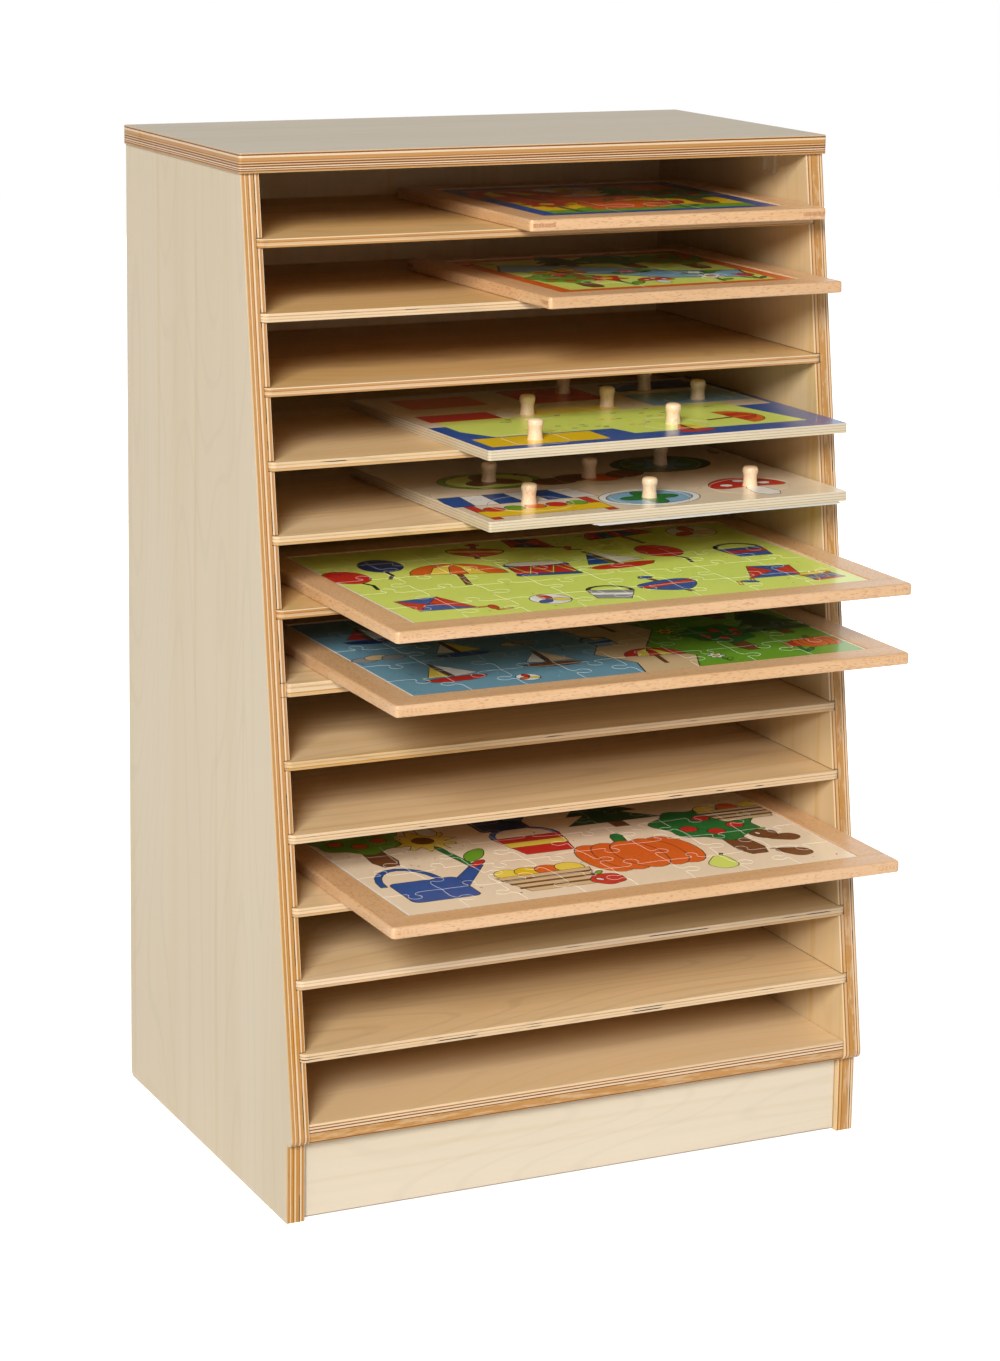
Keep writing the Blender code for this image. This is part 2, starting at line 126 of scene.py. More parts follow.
# Card, steel and plastic: darker and lighter tone of each
CARD = (tint(208, 207, 200), tint(218, 217, 212))
STEEL = (tint(168, 164, 152), tint(204, 200, 188))
PLASTIC = (tint(226, 224, 214), tint(240, 239, 232))

# Printing colours
INK = tint(30, 26, 28)
WHITE = tint(243, 242, 236)
RED = tint(204, 44, 36)
ORANGE = tint(228, 104, 34)
YELLOW = tint(240, 200, 28)
SUNNY = tint(247, 220, 84)
LIME = tint(222, 238, 114)
GRASS = tint(112, 168, 44)
LEAF = tint(36, 118, 52)
DEEP_GREEN = tint(22, 78, 42)
SKY = tint(134, 182, 210)
WATER = tint(112, 160, 180)
BLUE = tint(32, 84, 158)
NAVY = tint(24, 48, 104)
BROWN = tint(120, 72, 38)
SAND = tint(222, 192, 146)
STRAW = tint(176, 148, 112)
BARE_GROUND = tint(246, 226, 195)
ROSE = tint(226, 124, 134)
GREY = tint(150, 152, 154)

# Paint of a face: its colour and 1, or nothing where the bare material shows
BARE = (0.0, 0.0, 0.0, 0.0)
# White of cut card and paper edges, also a painted highlight on the edges of the pictures and their cut
# lines, and on the edges of the clear corner blocks
EDGE_WHITE_AND_HIGHLIGHT = (*tint(238, 236, 226), 1.0)

# Plies of each sheet from its low face to its high face: share of the thickness, colour, and the run of the
# grain where it isn't with the face: across it, as torn end grain, or across it with a few or many gaps
WITH, ACROSS, TORN, FEW, MANY = 0.0, 0.5, 0.6, 0.85, 1.0
LEFT_PLIES = (
    (1, VENEER), (6, PALE), (13, HONEY, ACROSS), (5, CREAM), (12, HONEY, ACROSS), (5, AMBER, ACROSS),
    (9, CREAM), (16, HONEY, ACROSS), (4, AMBER, MANY), (9, CREAM), (3, AMBER, ACROSS), (9, HONEY),
    (3, CREAM), (1, INNER_VENEER),
)
RIGHT_PLIES = (
    (1, INNER_VENEER), (7, CREAM), (7, AMBER, ACROSS), (13, PALE), (5, AMBER, ACROSS), (36, HONEY, TORN),
    (6, CREAM), (6, AMBER, FEW), (8, CREAM), (6, HONEY, ACROSS), (1, VENEER),
)
TOP_PLIES = (
    (1, INNER_VENEER), (6, HONEY), (4, GLUE, ACROSS), (5, PALE), (4, GLUE, ACROSS), (5, CREAM),
    (6, GLUE, ACROSS), (5, PALE), (6, GLUE, ACROSS), (5, PALE), (4, AMBER, ACROSS), (14, HONEY), (9, CREAM),
    (6, GLUE, ACROSS), (4, PALE), (1, TOP_VENEER),
)
FLOOR_PLIES = (
    (1, SHELF_VENEER), (3, HONEY), (5, GLUE, ACROSS), (42, HONEY, TORN), (5, GLUE, ACROSS), (10, CREAM),
    (6, GLUE, ACROSS), (9, CREAM), (6, AMBER, ACROSS), (9, CREAM), (1, SHELF_VENEER),
)
SHEET_PLIES = ((4, BACK_VENEER), (30, HONEY, ACROSS), (32, PALE), (30, HONEY, ACROSS), (4, BACK_VENEER))
PLINTH_PLIES = (
    (2, PLINTH_VENEER), (30, HONEY, ACROSS), (36, CREAM), (30, HONEY, ACROSS), (2, PLINTH_VENEER),
)
FINE_PLIES = (
    (20, FINE_PLY), (6, FINE_PLY_LINE, ACROSS), (21, FINE_PLY), (6, FINE_PLY_LINE, ACROSS), (23, FINE_PLY),
    (6, FINE_PLY_LINE, ACROSS), (16, FINE_PLY), (2, NATURAL),
)
FINE_WOOD = {"contrast": 0.5, "speckle": 0.05}
# Panels: axis of the plies, plies and axis of the face grain
PANELS = {
    "side_panel_left": ("X", LEFT_PLIES, "Z"),
    "side_panel_right": ("X", RIGHT_PLIES, "Z"),
    "top_panel": ("Z", TOP_PLIES, "X"),
    "floor_panel": ("Z", FLOOR_PLIES, "X"),
    "plinth_front": ("Y", PLINTH_PLIES, "X"),
    "plinth_rear": ("Y", PLINTH_PLIES, "X"),
}
# Core and face of each shelf, from the top one down
GOLDEN_CORE = ((22, HONEY), (6, CREAM), (26, PALE), (8, AMBER, ACROSS), (22, HONEY), (10, CREAM))
WHITE_CORE = ((24, CREAM), (12, PALE, FEW), (24, CREAM), (9, HONEY, FEW), (27, CREAM))
MIXED_CORE = ((24, PALE), (8, HONEY, ACROSS), (30, CREAM), (12, PALE, FEW), (22, CREAM))
SHELF_MAKES = (
    (GOLDEN_CORE, GOLD_VENEER), (WHITE_CORE, GOLD_VENEER), (GOLDEN_CORE, GOLD_VENEER),
    (MIXED_CORE, SHELF_VENEER), (MIXED_CORE, SHELF_VENEER), (GOLDEN_CORE, GOLD_VENEER),
    (MIXED_CORE, SHELF_VENEER), (MIXED_CORE, SHELF_VENEER), (WHITE_CORE, SHELF_VENEER),
    (MIXED_CORE, SHELF_VENEER), (MIXED_CORE, SHELF_VENEER), (WHITE_CORE, SHELF_VENEER),
)

# Cabinet details in millimetres, and the largest face of a rounded edge in square metres
PIN_PROUD = 0.4
PIN_RADIUS = 3.2
PIN_INSET = 5.0
PIN_SPACING = 92.0
PANEL_EDGE = 0.9
SHELF_EDGE = 1.0
BLOCK_EDGE = 0.8
BLOCK_CORNER = 3.0
LARGEST_EDGE_FACE = 0.001

# Puzzle details in millimetres, and the upward share of a normal from which a face is level
FRAME_ROOM = 0.6
FRAME_EDGE = 2.2
FRAME_FOOT_EDGE = 1.2
FRAME_CORNER = 4.0
OPENING_EDGE = 0.8
PIECE_EDGE = 0.6
PIECE_CORNER = 1.0
PICTURE_RIM = 2.2
CUT_WIDTH = 0.7
CUT_DEPTH = 0.3
# Share of the edge white, partly painted highlight, mixed into the print in the cut grooves
CUT_SHOWS = 0.6
BOARD_EDGE = 0.25
BOARD_CORNER = 3.0
BOARD_OVERLAP = 0.28
CUT_OUT_ROOM = 0.3
LEVEL = 0.999

# Corner joints of the frames in millimetres: start, reach along each side, teeth, line, depth of a wall's
# zone, and the joint's share of the height
JOINT_START = 4.0
SIDE_REACH = 16.0
FRONT_REACH = 26.0
TOOTH = 2.0
TEETH = 12
JOINT_LINE = 0.35
WALL_ZONE = 3.0
JOINT_LOW, JOINT_HIGH = 0.33, 0.66

# Tones of the beech: range over the rails, painted shade that lowers the tone of their outer sides and
# fronts, and cover of the end grain
RAIL_TONES = (0.75, 0.95)
SIDE_PAINTED_SHADE = 0.3
FRONT_PAINTED_SHADE = 0.5
END_SHOWS = 0.7
FINGER_SHOWS = 0.25
LINE_SHOWS = 0.8

# Leaflet: room round its two sheets in millimetres, thickness of a sheet as a share of both, eased edge
LEAFLET_ROOM = (2.4, 2.8)
LEAFLET_SHEET = 0.45
LEAFLET_EDGE = 0.05

# Knobs: radius of the head in metres, and the radius along the height as shares of that
KNOB_HEAD = 0.0075
KNOB_RINGS = 44
KNOB_SIDES = 40
KNOB_PROFILE = (
    (0.0, 0.98), (1.0, 0.0), (0.14, 0.93), (0.38, 0.86), (0.56, 0.90), (0.74, 1.0), (0.88, 0.95),
    (0.965, 0.70),
)

# Inlay pieces of the knob boards: radius in millimetres, then for each piece its place as shares of the
# board and the waves of its outline
BOARD_4 = (30.0, (
    ((0.176, 0.128), ((4, -0.085, 0),)), ((0.595, 0.210), ((3, 0.120, 90), (6, -0.030, 90))),
    ((0.322, 0.534), ()), ((0.567, 0.574), ((5, 0.110, 90),)), ((0.840, 0.587), ((2, 0.130, 0),)),
    ((0.560, 0.858), ((6, 0.090, 0),)), ((0.785, 0.820), ((4, 0.100, 0),)),
))
BOARD_5 = (38.0, (
    ((0.195, 0.219), ((1, 0.050, -90), (2, -0.070, 90), (3, 0.030, 90))), ((0.505, 0.160), ()),
    ((0.812, 0.200), ((2, 0.130, 20),)), ((0.236, 0.593), ((3, 0.105, -90), (2, 0.045, 90))),
    ((0.493, 0.525), ((2, 0.085, 90), (1, -0.110, 90))), ((0.751, 0.639), ((2, -0.060, 90),)),
))


class Nodes:
    """A node tree in the making. A value for a socket is another socket to link, or a constant."""

    def __init__(self, tree):
        self.tree = tree

    def give(self, socket, value):
        if isinstance(value, bpy.types.NodeSocket):
            self.tree.links.new(value, socket)
        elif socket.type == "RGBA" and len(value) == 3:
            socket.default_value = (*value, 1.0)
        else:
            socket.default_value = value

    def add(self, kind, values=(), **settings):
        node = self.tree.nodes.new(kind)
        for name, value in settings.items():
            setattr(node, name, value)
        for key, value in dict(values).items():
            self.give(node.inputs[key], value)
        return node


class Shading(Nodes):
    """Shader nodes, with short ways to add them."""

    def node(self, kind, values=(), **settings):
        return self.add("ShaderNode" + kind, values, **settings)

    def out(self, kind, values=(), **settings):
        return self.node(kind, values, **settings).outputs[0]

    def place(self):
        return self.node("TexCoord").outputs["Object"]

    def paint(self):
        return self.node("Attribute", attribute_name="paint", attribute_type="GEOMETRY").outputs

    def parts(self, vector):
        return self.node("SeparateXYZ", {0: vector}).outputs

    def joined(self, x, y, z):
        return self.out("CombineXYZ", {0: x, 1: y, 2: z})

    def math(self, operation, *values):
        return self.out("Math", dict(enumerate(values)), operation=operation)

    def times(self, first, second):
        return self.math("MULTIPLY", first, second)

    def scaled(self, value, by, base):
        return self.math("MULTIPLY_ADD", value, by, base)

    def vary(self, value, noise, by):
        """Value that goes up and down with a noise."""
        return self.scaled(self.math("SUBTRACT", noise, 0.5), by, value)

    def between(self, share, first, second):
        return self.out("Mix", {0: share, 2: first, 3: second}, data_type="FLOAT")

    def mix(self, share, first, second):
        return self.node("Mix", {0: share, 6: first, 7: second}, data_type="RGBA").outputs[2]

    def step(self, value, low, high, low_to=0.0, high_to=1.0):
        values = {0: value, 1: low, 2: high, 3: low_to, 4: high_to}
        return self.out("MapRange", values, interpolation_type="SMOOTHSTEP")

    def noise(self, vector, scale=1.0, detail=2.0, roughness=0.5, distortion=0.0):
        values = {"Scale": scale, "Detail": detail, "Roughness": roughness, "Distortion": distortion}
        return self.out("TexNoise", {"Vector": vector, **values})

    def grain(self, vector, axis, along, across, **noise):
        """Noise drawn out along one axis."""
        scale = [along if name == axis else across for name in "XYZ"]
        return self.noise(self.out("Mapping", {"Vector": vector, "Scale": scale}), **noise)

    def shade(self, colour, value, saturation=1.0):
        return self.out("HueSaturation", {"Saturation": saturation, "Value": value, "Color": colour})

    def bump(self, height, distance, strength):
        return self.out("Bump", {"Strength": strength, "Distance": distance, "Height": height})

    def seen(self):
        """1 for rays from the camera, from a reflection or through glass, and 0 for rays of light."""
        path = self.node("LightPath").outputs
        value = path["Is Camera Ray"]
        for ray in ("Is Glossy Ray", "Is Transmission Ray"):
            value = self.math("MAXIMUM", value, path[ray])
        return value


class Finish(Shading):
    """A material in the making. Underscores stand for the spaces in the names of its shader's sockets."""

    def __init__(self, name, **constants):
        self.material = bpy.data.materials.new(name)
        self.material.use_nodes = True
        super().__init__(self.material.node_tree)
        self.finish(**constants)

    def finish(self, **sockets):
        shader = self.tree.nodes["Principled BSDF"]
        for name, value in sockets.items():
            self.give(shader.inputs[name.replace("_", " ")], value)
        return self.material


def ply_ramp(finish, depth, plies):
    """Colour of the ply at a depth from 0 to 1, with the run of its grain as alpha."""
    ramp = finish.node("ValToRGB", {0: depth})
    ramp.color_ramp.interpolation = "CONSTANT"
    stops = ramp.color_ramp.elements
    total = sum(share for share, *_ in plies)
    done = 0
    for number, (share, colour, *run) in enumerate(plies):
        stop = stops[number] if number < 2 else stops.new(done / total)
        stop.position = done / total
        stop.color = (*colour, *(run or [WITH]))
        done += share
    return ramp.outputs


def ply_wood(finish, axis, low, high, plies, grain, contrast=1.0, speckle=0.42, turn=0.0):
    """Plywood all through: plies stacked along one axis, with the face grain along another.

    Returns its colour, its relief and its fibres.
    """
    place = finish.out("Mapping", {"Vector": finish.place(), "Rotation": (0.0, 0.0, -turn)})
    height = finish.parts(place)["XYZ".index(axis)]
    depth = finish.scaled(height, 1 / (high - low), -low / (high - low))
    depth = finish.vary(depth, finish.grain(place, axis, 30.0, 9.0), 0.024)
    colour, run = ply_ramp(finish, depth, plies)
    across = finish.math("MINIMUM", finish.times(run, 2.0), 1.0)
    along = finish.grain(place, grain, 3.0, 150.0, detail=4.0, roughness=0.65)
    ends = finish.grain(place, grain, 70.0, 760.0, roughness=0.65)
    fibre = finish.between(across, along, ends)
    figure = finish.grain(place, grain, 0.7, 17.0, detail=3.0, distortion=0.6)
    streak = finish.step(finish.grain(place, grain, 1.1, 62.0, detail=1.0), 0.62, 0.74)
    rings = finish.grain(place, grain, 1.0, 6.0, detail=1.0, distortion=0.3)
    rings = finish.step(finish.math("SINE", finish.times(rings, 150.0)), 0.72, 1.0)
    value = finish.vary(1.0, fibre, finish.between(across, 0.10 * contrast, speckle))
    value = finish.vary(value, figure, 0.14 * contrast)
    value = finish.scaled(streak, -0.05 * contrast, value)
    value = finish.scaled(rings, -0.045 * contrast, value)
    value = finish.vary(value, finish.noise(place, 4.0), 0.06)
    warmth = finish.scaled(streak, 0.16, finish.vary(1.0, figure, -0.35))
    colour = finish.shade(colour, value, warmth)
    torn = finish.step(finish.grain(place, grain, 26.0, 210.0, detail=3.0, roughness=0.7), 0.47, 0.6)
    torn = finish.times(torn, finish.math("COMPARE", run, TORN, 0.05))
    colour = finish.mix(finish.times(torn, 0.4), colour, CREAM)
    gap = finish.grain(place, grain, 24.0, 240.0, detail=0.0)
    gap = finish.math("SUBTRACT", gap, finish.between(run, 1.453, 0.52))
    gap = finish.times(finish.step(gap, 0.0, 0.03), across)
    relief = finish.scaled(gap, -2.0, finish.scaled(across, -0.35, fibre))
    return finish.mix(gap, colour, VOID_AND_JOINT_SHADE), relief, fibre


def groove_shade_lines(finish, colour):
    """Painted shade: dark lines on the sides where the shelves enter their grooves."""
    x, _, z = finish.parts(finish.place())
    line = 0.0
    for node in SHELVES:
        low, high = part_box(node)
        for height, reach in ((high.z + 0.4 * MM, 0.6 * MM), (low.z - 0.2 * MM, 0.4 * MM)):
            line = finish.math("MAXIMUM", line, finish.math("COMPARE", z, height, reach))
    deep = finish.math("LESS_THAN", finish.math("ABSOLUTE", x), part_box("shelf_01")[1].x + 0.4 * MM)
    return finish.mix(finish.times(finish.times(line, deep), 0.6), colour, VOID_AND_JOINT_SHADE)


def plywood(name, axis, low, high, plies, grain, roughness=0.36, groove_shade=False, **wood):
    finish = Finish(name, Specular_IOR_Level=0.25)
    colour, relief, fibre = ply_wood(finish, axis, low, high, plies, grain, **wood)
    # Painted shade in the shelves' joints on the side panels
    if groove_shade:
        colour = groove_shade_lines(finish, colour)
    dull = finish.scaled(fibre, 0.16, roughness)
    return finish.finish(Base_Color=colour, Roughness=dull, Normal=finish.bump(relief, 0.12 * MM, 0.5))


def fine_plywood(name, low, high, turn=0.0):
    return plywood(name, "Z", low, high, FINE_PLIES, "X", 0.42, turn=turn, **FINE_WOOD)


def beech(name):
    """Lacquered beech. Paint red turns the grain to run back, green marks end grain, blue sets the tone and
    painted shade.
    """
    finish = Finish(name, Coat_Weight=0.25, Coat_Roughness=0.22)
    turned, end, tone = finish.node("SeparateColor", {0: finish.paint()["Color"]}).outputs
    place = finish.place()
    x, y, z = finish.parts(place)
    along_y = finish.joined(y, x, z)
    place = finish.node("Mix", {0: turned, 4: place, 5: along_y}, data_type="VECTOR").outputs[1]
    place = finish.out("VectorMath", {0: place, 1: finish.joined(tone, tone, tone)}, operation="ADD")
    fibre = finish.grain(place, "X", 16.0, 620.0, roughness=0.6)
    figure = finish.grain(place, "X", 2.6, 70.0, detail=3.0, distortion=0.8)
    fleck = finish.step(finish.grain(place, "X", 210.0, 1250.0, detail=0.0), 0.63, 0.71)
    value = finish.vary(1.0, fibre, 0.22)
    value = finish.vary(value, figure, 0.28)
    value = finish.vary(value, tone, 0.5)
    colour = finish.shade(BEECH, value, finish.scaled(figure, -0.3, 1.15))
    colour = finish.mix(finish.times(fleck, 0.5), colour, BEECH_FLECK)
    rays = finish.step(finish.grain(place, "Z", 90.0, 900.0), 0.35, 0.65)
    colour = finish.mix(end, colour, finish.mix(rays, END_PORES, END_GRAIN))
    relief = finish.scaled(fleck, -0.8, fibre)
    dull = finish.scaled(fibre, 0.14, 0.33)
    return finish.finish(Base_Color=colour, Roughness=dull, Normal=finish.bump(relief, 0.08 * MM, 0.4))


def turned_wood(name):
    """Pale turned hardwood for the knobs, with the grain upright."""
    finish = Finish(name)
    place = finish.place()
    fibre = finish.grain(place, "Z", 40.0, 900.0, roughness=0.6)
    fleck = finish.step(finish.grain(place, "Z", 260.0, 1500.0, detail=0.0), 0.64, 0.72)
    colour = finish.shade(KNOB_WOOD, finish.vary(1.0, fibre, 0.2))
    colour = finish.mix(finish.times(fleck, 0.35), colour, BEECH_FLECK)
    dull = finish.scaled(fibre, 0.12, 0.34)
    return finish.finish(Base_Color=colour, Roughness=dull, Normal=finish.bump(fibre, 0.06 * MM, 0.4))


def glossy_print(name):
    """Print with its colours from the paint: the finish so far, its colour, its cover and its specks."""
    finish = Finish(name, Coat_Weight=0.35, Coat_Roughness=0.07)
    paint = finish.paint()
    place = finish.place()
    speck = finish.noise(place, 900.0, detail=1.0)
    cloud = finish.noise(place, 16.0)
    value = finish.vary(finish.vary(1.0, speck, 0.10), cloud, 0.07)
    finish.finish(Roughness=finish.scaled(cloud, 0.10, 0.24))
    return finish, finish.shade(paint["Color"], value), paint["Alpha"], speck


def printed_picture(name):
    finish, colour, _, speck = glossy_print(name)
    return finish.finish(Base_Color=colour, Normal=finish.bump(speck, 0.03 * MM, 0.25))


def printed_board(name, low, high, turn):
    """Printed plywood, bare where the paint covers nothing."""
    finish, colour, cover, speck = glossy_print(name)
    wood, _, fibre = ply_wood(finish, "Z", low, high, FINE_PLIES, "X", turn=turn, **FINE_WOOD)
    colour = finish.mix(cover, wood, colour)
    relief = finish.scaled(speck, 0.4, fibre)
    return finish.finish(Base_Color=colour, Normal=finish.bump(relief, 0.04 * MM, 0.3))


def mottled(finish, tones, scale, detail, dull, relief):
    """Fine mottling between two tones. Dull is a spread and a base, relief a depth and a strength."""
    speck = finish.noise(finish.place(), scale, detail)
    colour = finish.mix(speck, *tones)
    roughness = finish.scaled(speck, *dull)
    return finish.finish(Base_Color=colour, Roughness=roughness, Normal=finish.bump(speck, *relief))


def clear_plastic(name):
    """Clear moulded plastic that shows the wood behind it, and a painted highlight at its painted edges,
    which are less clear.
    """
    finish = Finish(name, Specular_IOR_Level=0.7)
    finish.finish(Alpha=finish.scaled(finish.paint()["Alpha"], 0.16, 0.05))
    return mottled(finish, PLASTIC, 1400.0, 1.0, (0.08, 0.10), (0.02 * MM, 0.2))


def paper(name):
    return mottled(Finish(name), CARD, 2200.0, 3.0, (0.2, 0.5), (0.03 * MM, 0.3))


def plated_steel(name):
    return mottled(Finish(name, Metallic=1.0), STEEL, 700.0, 3.0, (0.2, 0.24), (0.03 * MM, 0.2))


def pale_floor(name):
    """Pale floor that turns white for the camera, but not beneath the cabinet, and glows a little as painted
    light.
    """
    grey = (FLOOR_GREY, FLOOR_GREY, FLOOR_GREY)
    white = (1.0, 1.0, 1.0)
    finish = Finish(name, Base_Color=grey, Roughness=1.0, Specular_IOR_Level=0.0, Emission_Color=white)
    place = finish.place()
    away = finish.node("VectorMath", {0: place}, operation="LENGTH").outputs["Value"]
    lift = finish.times(finish.seen(), finish.step(away, FLOOR_NEAR, FLOOR_FAR, FLOOR_LIFT, 1.0))
    low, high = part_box("plinth_front")
    spans = ((low.x, high.x), (low.y + FLOOR_UNDER_PLINTH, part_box("plinth_rear")[1].y))
    beneath = 1.0
    for axis, (start, end) in zip(finish.parts(place), spans):
        inside = finish.math("COMPARE", axis, (start + end) / 2, (end - start) / 2)
        beneath = finish.times(beneath, inside)
    lift = finish.times(lift, finish.math("SUBTRACT", 1.0, beneath))
    # The glow for all rays is painted light on the rack from below
    return finish.finish(Emission_Strength=finish.math("MAXIMUM", lift, FLOOR_GLOW))


class Maker(Nodes):
    """Geometry nodes that make a mesh from named inputs."""

    def __init__(self, name, **inputs):
        super().__init__(bpy.data.node_groups.new(name, "GeometryNodeTree"))
        for socket, kind in inputs.items():
            self.tree.interface.new_socket(socket, in_out="INPUT", socket_type="NodeSocket" + kind)
        self.tree.interface.new_socket("Geometry", in_out="OUTPUT", socket_type="NodeSocketGeometry")
        self.inputs = self.tree.nodes.new("NodeGroupInput").outputs

    def make(self, kind, values=(), **settings):
        return self.add("GeometryNode" + kind, values, **settings).outputs[0]

    def end(self, geometry):
        real = self.make("RealizeInstances", {0: geometry})
        done = self.make("SetMaterial", {0: real, "Material": self.inputs["Material"]})
        self.add("NodeGroupOutput", {0: done})

    def mesh(self, name, **values):
        """Plain mesh that the nodes make from a value for each input."""
        start = bpy.data.meshes.new(name + "_start")
        thing = bpy.data.objects.new(name, start)
        bpy.context.scene.collection.objects.link(thing)
        modifier = thing.modifiers.new(name, "NODES")
        modifier.node_group = self.tree
        for item in self.tree.interface.items_tree:
            if item.in_out == "INPUT":
                modifier[item.identifier] = values[item.name]
        graph = bpy.context.evaluated_depsgraph_get()
        mesh = bpy.data.meshes.new_from_object(thing.evaluated_get(graph))
        bpy.data.objects.remove(thing)
        bpy.data.meshes.remove(start)
        mesh.name = name
        return mesh


def pin_heads():
    """Nodes that set pin heads at even steps round a rectangle."""
    maker = Maker(
        "pin_heads", Width="Float", Height="Float", Spacing="Float", Radius="Float", Proud="Float",
        Material="Material",
    )
    inputs = maker.inputs
    way = maker.make("CurvePrimitiveQuadrilateral", {"Width": inputs["Width"], "Height": inputs["Height"]})
    spots = maker.make("ResampleCurve", {"Curve": way, "Length": inputs["Spacing"]}, mode="LENGTH")
    head = maker.make("MeshUVSphere", {"Segments": 14, "Rings": 6, "Radius": 1.0})
    head = maker.make("SetShadeSmooth", {0: head})
    scale = {0: inputs["Radius"], 1: inputs["Radius"], 2: inputs["Proud"]}
    scale = maker.add("ShaderNodeCombineXYZ", scale).outputs[0]
    maker.end(maker.make("InstanceOnPoints", {"Points": spots, "Instance": head, "Scale": scale}))
    return maker


def turned_knob():
    """Nodes that turn a knob on a place from its height and its radii."""
    maker = Maker(
        "turned_knob", Place="Vector", Height="Float", Radius="Float", Rings="Int", Sides="Int",
        Material="Material",
    )
    inputs = maker.inputs
    rise = maker.add("ShaderNodeCombineXYZ", {"Z": inputs["Height"]}).outputs[0]
    crown = maker.add("ShaderNodeVectorMath", {0: inputs["Place"], 1: rise}, operation="ADD").outputs[0]
    axis = maker.make("CurvePrimitiveLine", {"Start": inputs["Place"], "End": crown})
    axis = maker.make("ResampleCurve", {"Curve": axis, "Count": inputs["Rings"]})
    share = maker.add("GeometryNodeSplineParameter").outputs["Factor"]
    profile = maker.add("ShaderNodeFloatCurve", {"Value": share})
    points = profile.mapping.curves[0].points
    for number, spot in enumerate(KNOB_PROFILE):
        point = points[number] if number < 2 else points.new(*spot)
        point.location = spot
    profile.mapping.update()
    radius = {0: profile.outputs[0], 1: inputs["Radius"]}
    radius = maker.add("ShaderNodeMath", radius, operation="MULTIPLY").outputs[0]
    circle = maker.make("CurvePrimitiveCircle", {"Resolution": inputs["Sides"], "Radius": 1.0})
    turned = maker.make("CurveToMesh", {"Curve": axis, "Profile Curve": circle, "Scale": radius})
    maker.end(maker.make("SetShadeSmooth", {0: turned}))
    return maker


def add_piece(mesh, material, body, slot, *nodes):
    """Adds a finished mesh as a piece that rides on a body and stands for those nodes."""
    if not mesh.materials:
        mesh.materials.append(material)
    thing = bpy.data.objects.new(mesh.name, mesh)
    bpy.context.scene.collection.objects.link(thing)
    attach(thing, body)
    if nodes:
        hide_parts(*nodes)


def dress(node, material):
    """Gives a node its finish."""
    mesh = NODES[node].data
    if mesh.materials:
        mesh.materials[0] = material
    else:
        mesh.materials.append(material)


def span(node, axis):
    return [corner["XYZ".index(axis)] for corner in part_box(node)]


def merged(node):
    """Copy of a node's solid with its triangles joined."""
    solid = bmesh.new()
    solid.from_mesh(NODES[node].data)
    bmesh.ops.remove_doubles(solid, verts=solid.verts, dist=1e-6)
    return solid


def mesh_of(solid, name):
    mesh = bpy.data.meshes.new(name)
    solid.to_mesh(mesh)
    solid.free()
    return mesh


def eased_panel(node, material, slot, radius):
    """Copy of a panel with its outer edges rounded off."""
    solid = merged(node)
    bmesh.ops.dissolve_limit(solid, angle_limit=math.radians(1), verts=solid.verts, edges=solid.edges)
    sharp = [edge for edge in solid.edges if edge.is_convex and edge.calc_face_angle(0.0) > math.radians(35)]
    bmesh.ops.bevel(
        solid, geom=sharp, offset=radius * MM, segments=3, profile=0.5, affect="EDGES", clamp_overlap=True,
    )
    mesh = mesh_of(solid, node + "_eased")
    mesh.set_sharp_from_angle(angle=math.radians(34))
    mesh.polygons.foreach_set("use_smooth", [face.area < LARGEST_EDGE_FACE for face in mesh.polygons])
    add_piece(mesh, material, "rack", slot, node)


def cabinet():
    for node, (axis, plies, grain) in PANELS.items():
        # The side panels get painted shade where the shelves enter their grooves
        looks = {"groove_shade": node.startswith("side"), "contrast": 0.8}
        wood = plywood(node + "_plywood", axis, *span(node, axis), plies, grain, **looks)
        eased_panel(node, wood, "panel_ply", PANEL_EDGE)
    for node, (core, face) in zip(SHELVES, SHELF_MAKES):
        plies = ((2, face), *core, (2, face))
        wood = plywood(node + "_plywood", "Z", *span(node, "Z"), plies, "X", contrast=2.0)
        eased_panel(node, wood, "shelf_ply", SHELF_EDGE)
    pinned_back()
    plastic = clear_plastic("clear_plastic")
    for node in NODES:
        if node.startswith("corner_block"):
            corner_block(node, plastic)


def pinned_back():
    """Back panel, thinner than its place by the height of the pin heads that hold it, and those heads."""
    node = "back_panel"
    low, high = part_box(node)
    proud = PIN_PROUD * MM
    margin = 2 * PIN_INSET * MM
    solid = merged(node)
    for vertex in solid.verts:
        if vertex.co.y > (low.y + high.y) / 2:
            vertex.co.y -= proud
    wood = plywood(node + "_plywood", "Y", low.y, high.y - proud, SHEET_PLIES, "Z", contrast=0.6)
    add_piece(mesh_of(solid, node + "_board"), wood, "rack", "sheet_ply", node)
    steel = plated_steel("pin_steel")
    mesh = pin_heads().mesh(
        node + "_pins", Width=high.x - low.x - margin, Height=high.z - low.z - margin,
        Spacing=PIN_SPACING * MM, Radius=PIN_RADIUS * MM, Proud=proud, Material=steel,
    )
    middle = Vector(((low.x + high.x) / 2, high.y - proud, (low.z + high.z) / 2))
    mesh.transform(Matrix.Translation(middle) @ Matrix.Rotation(math.radians(-90), 4, "X"))
    add_piece(mesh, steel, "rack", "clear_plastic")


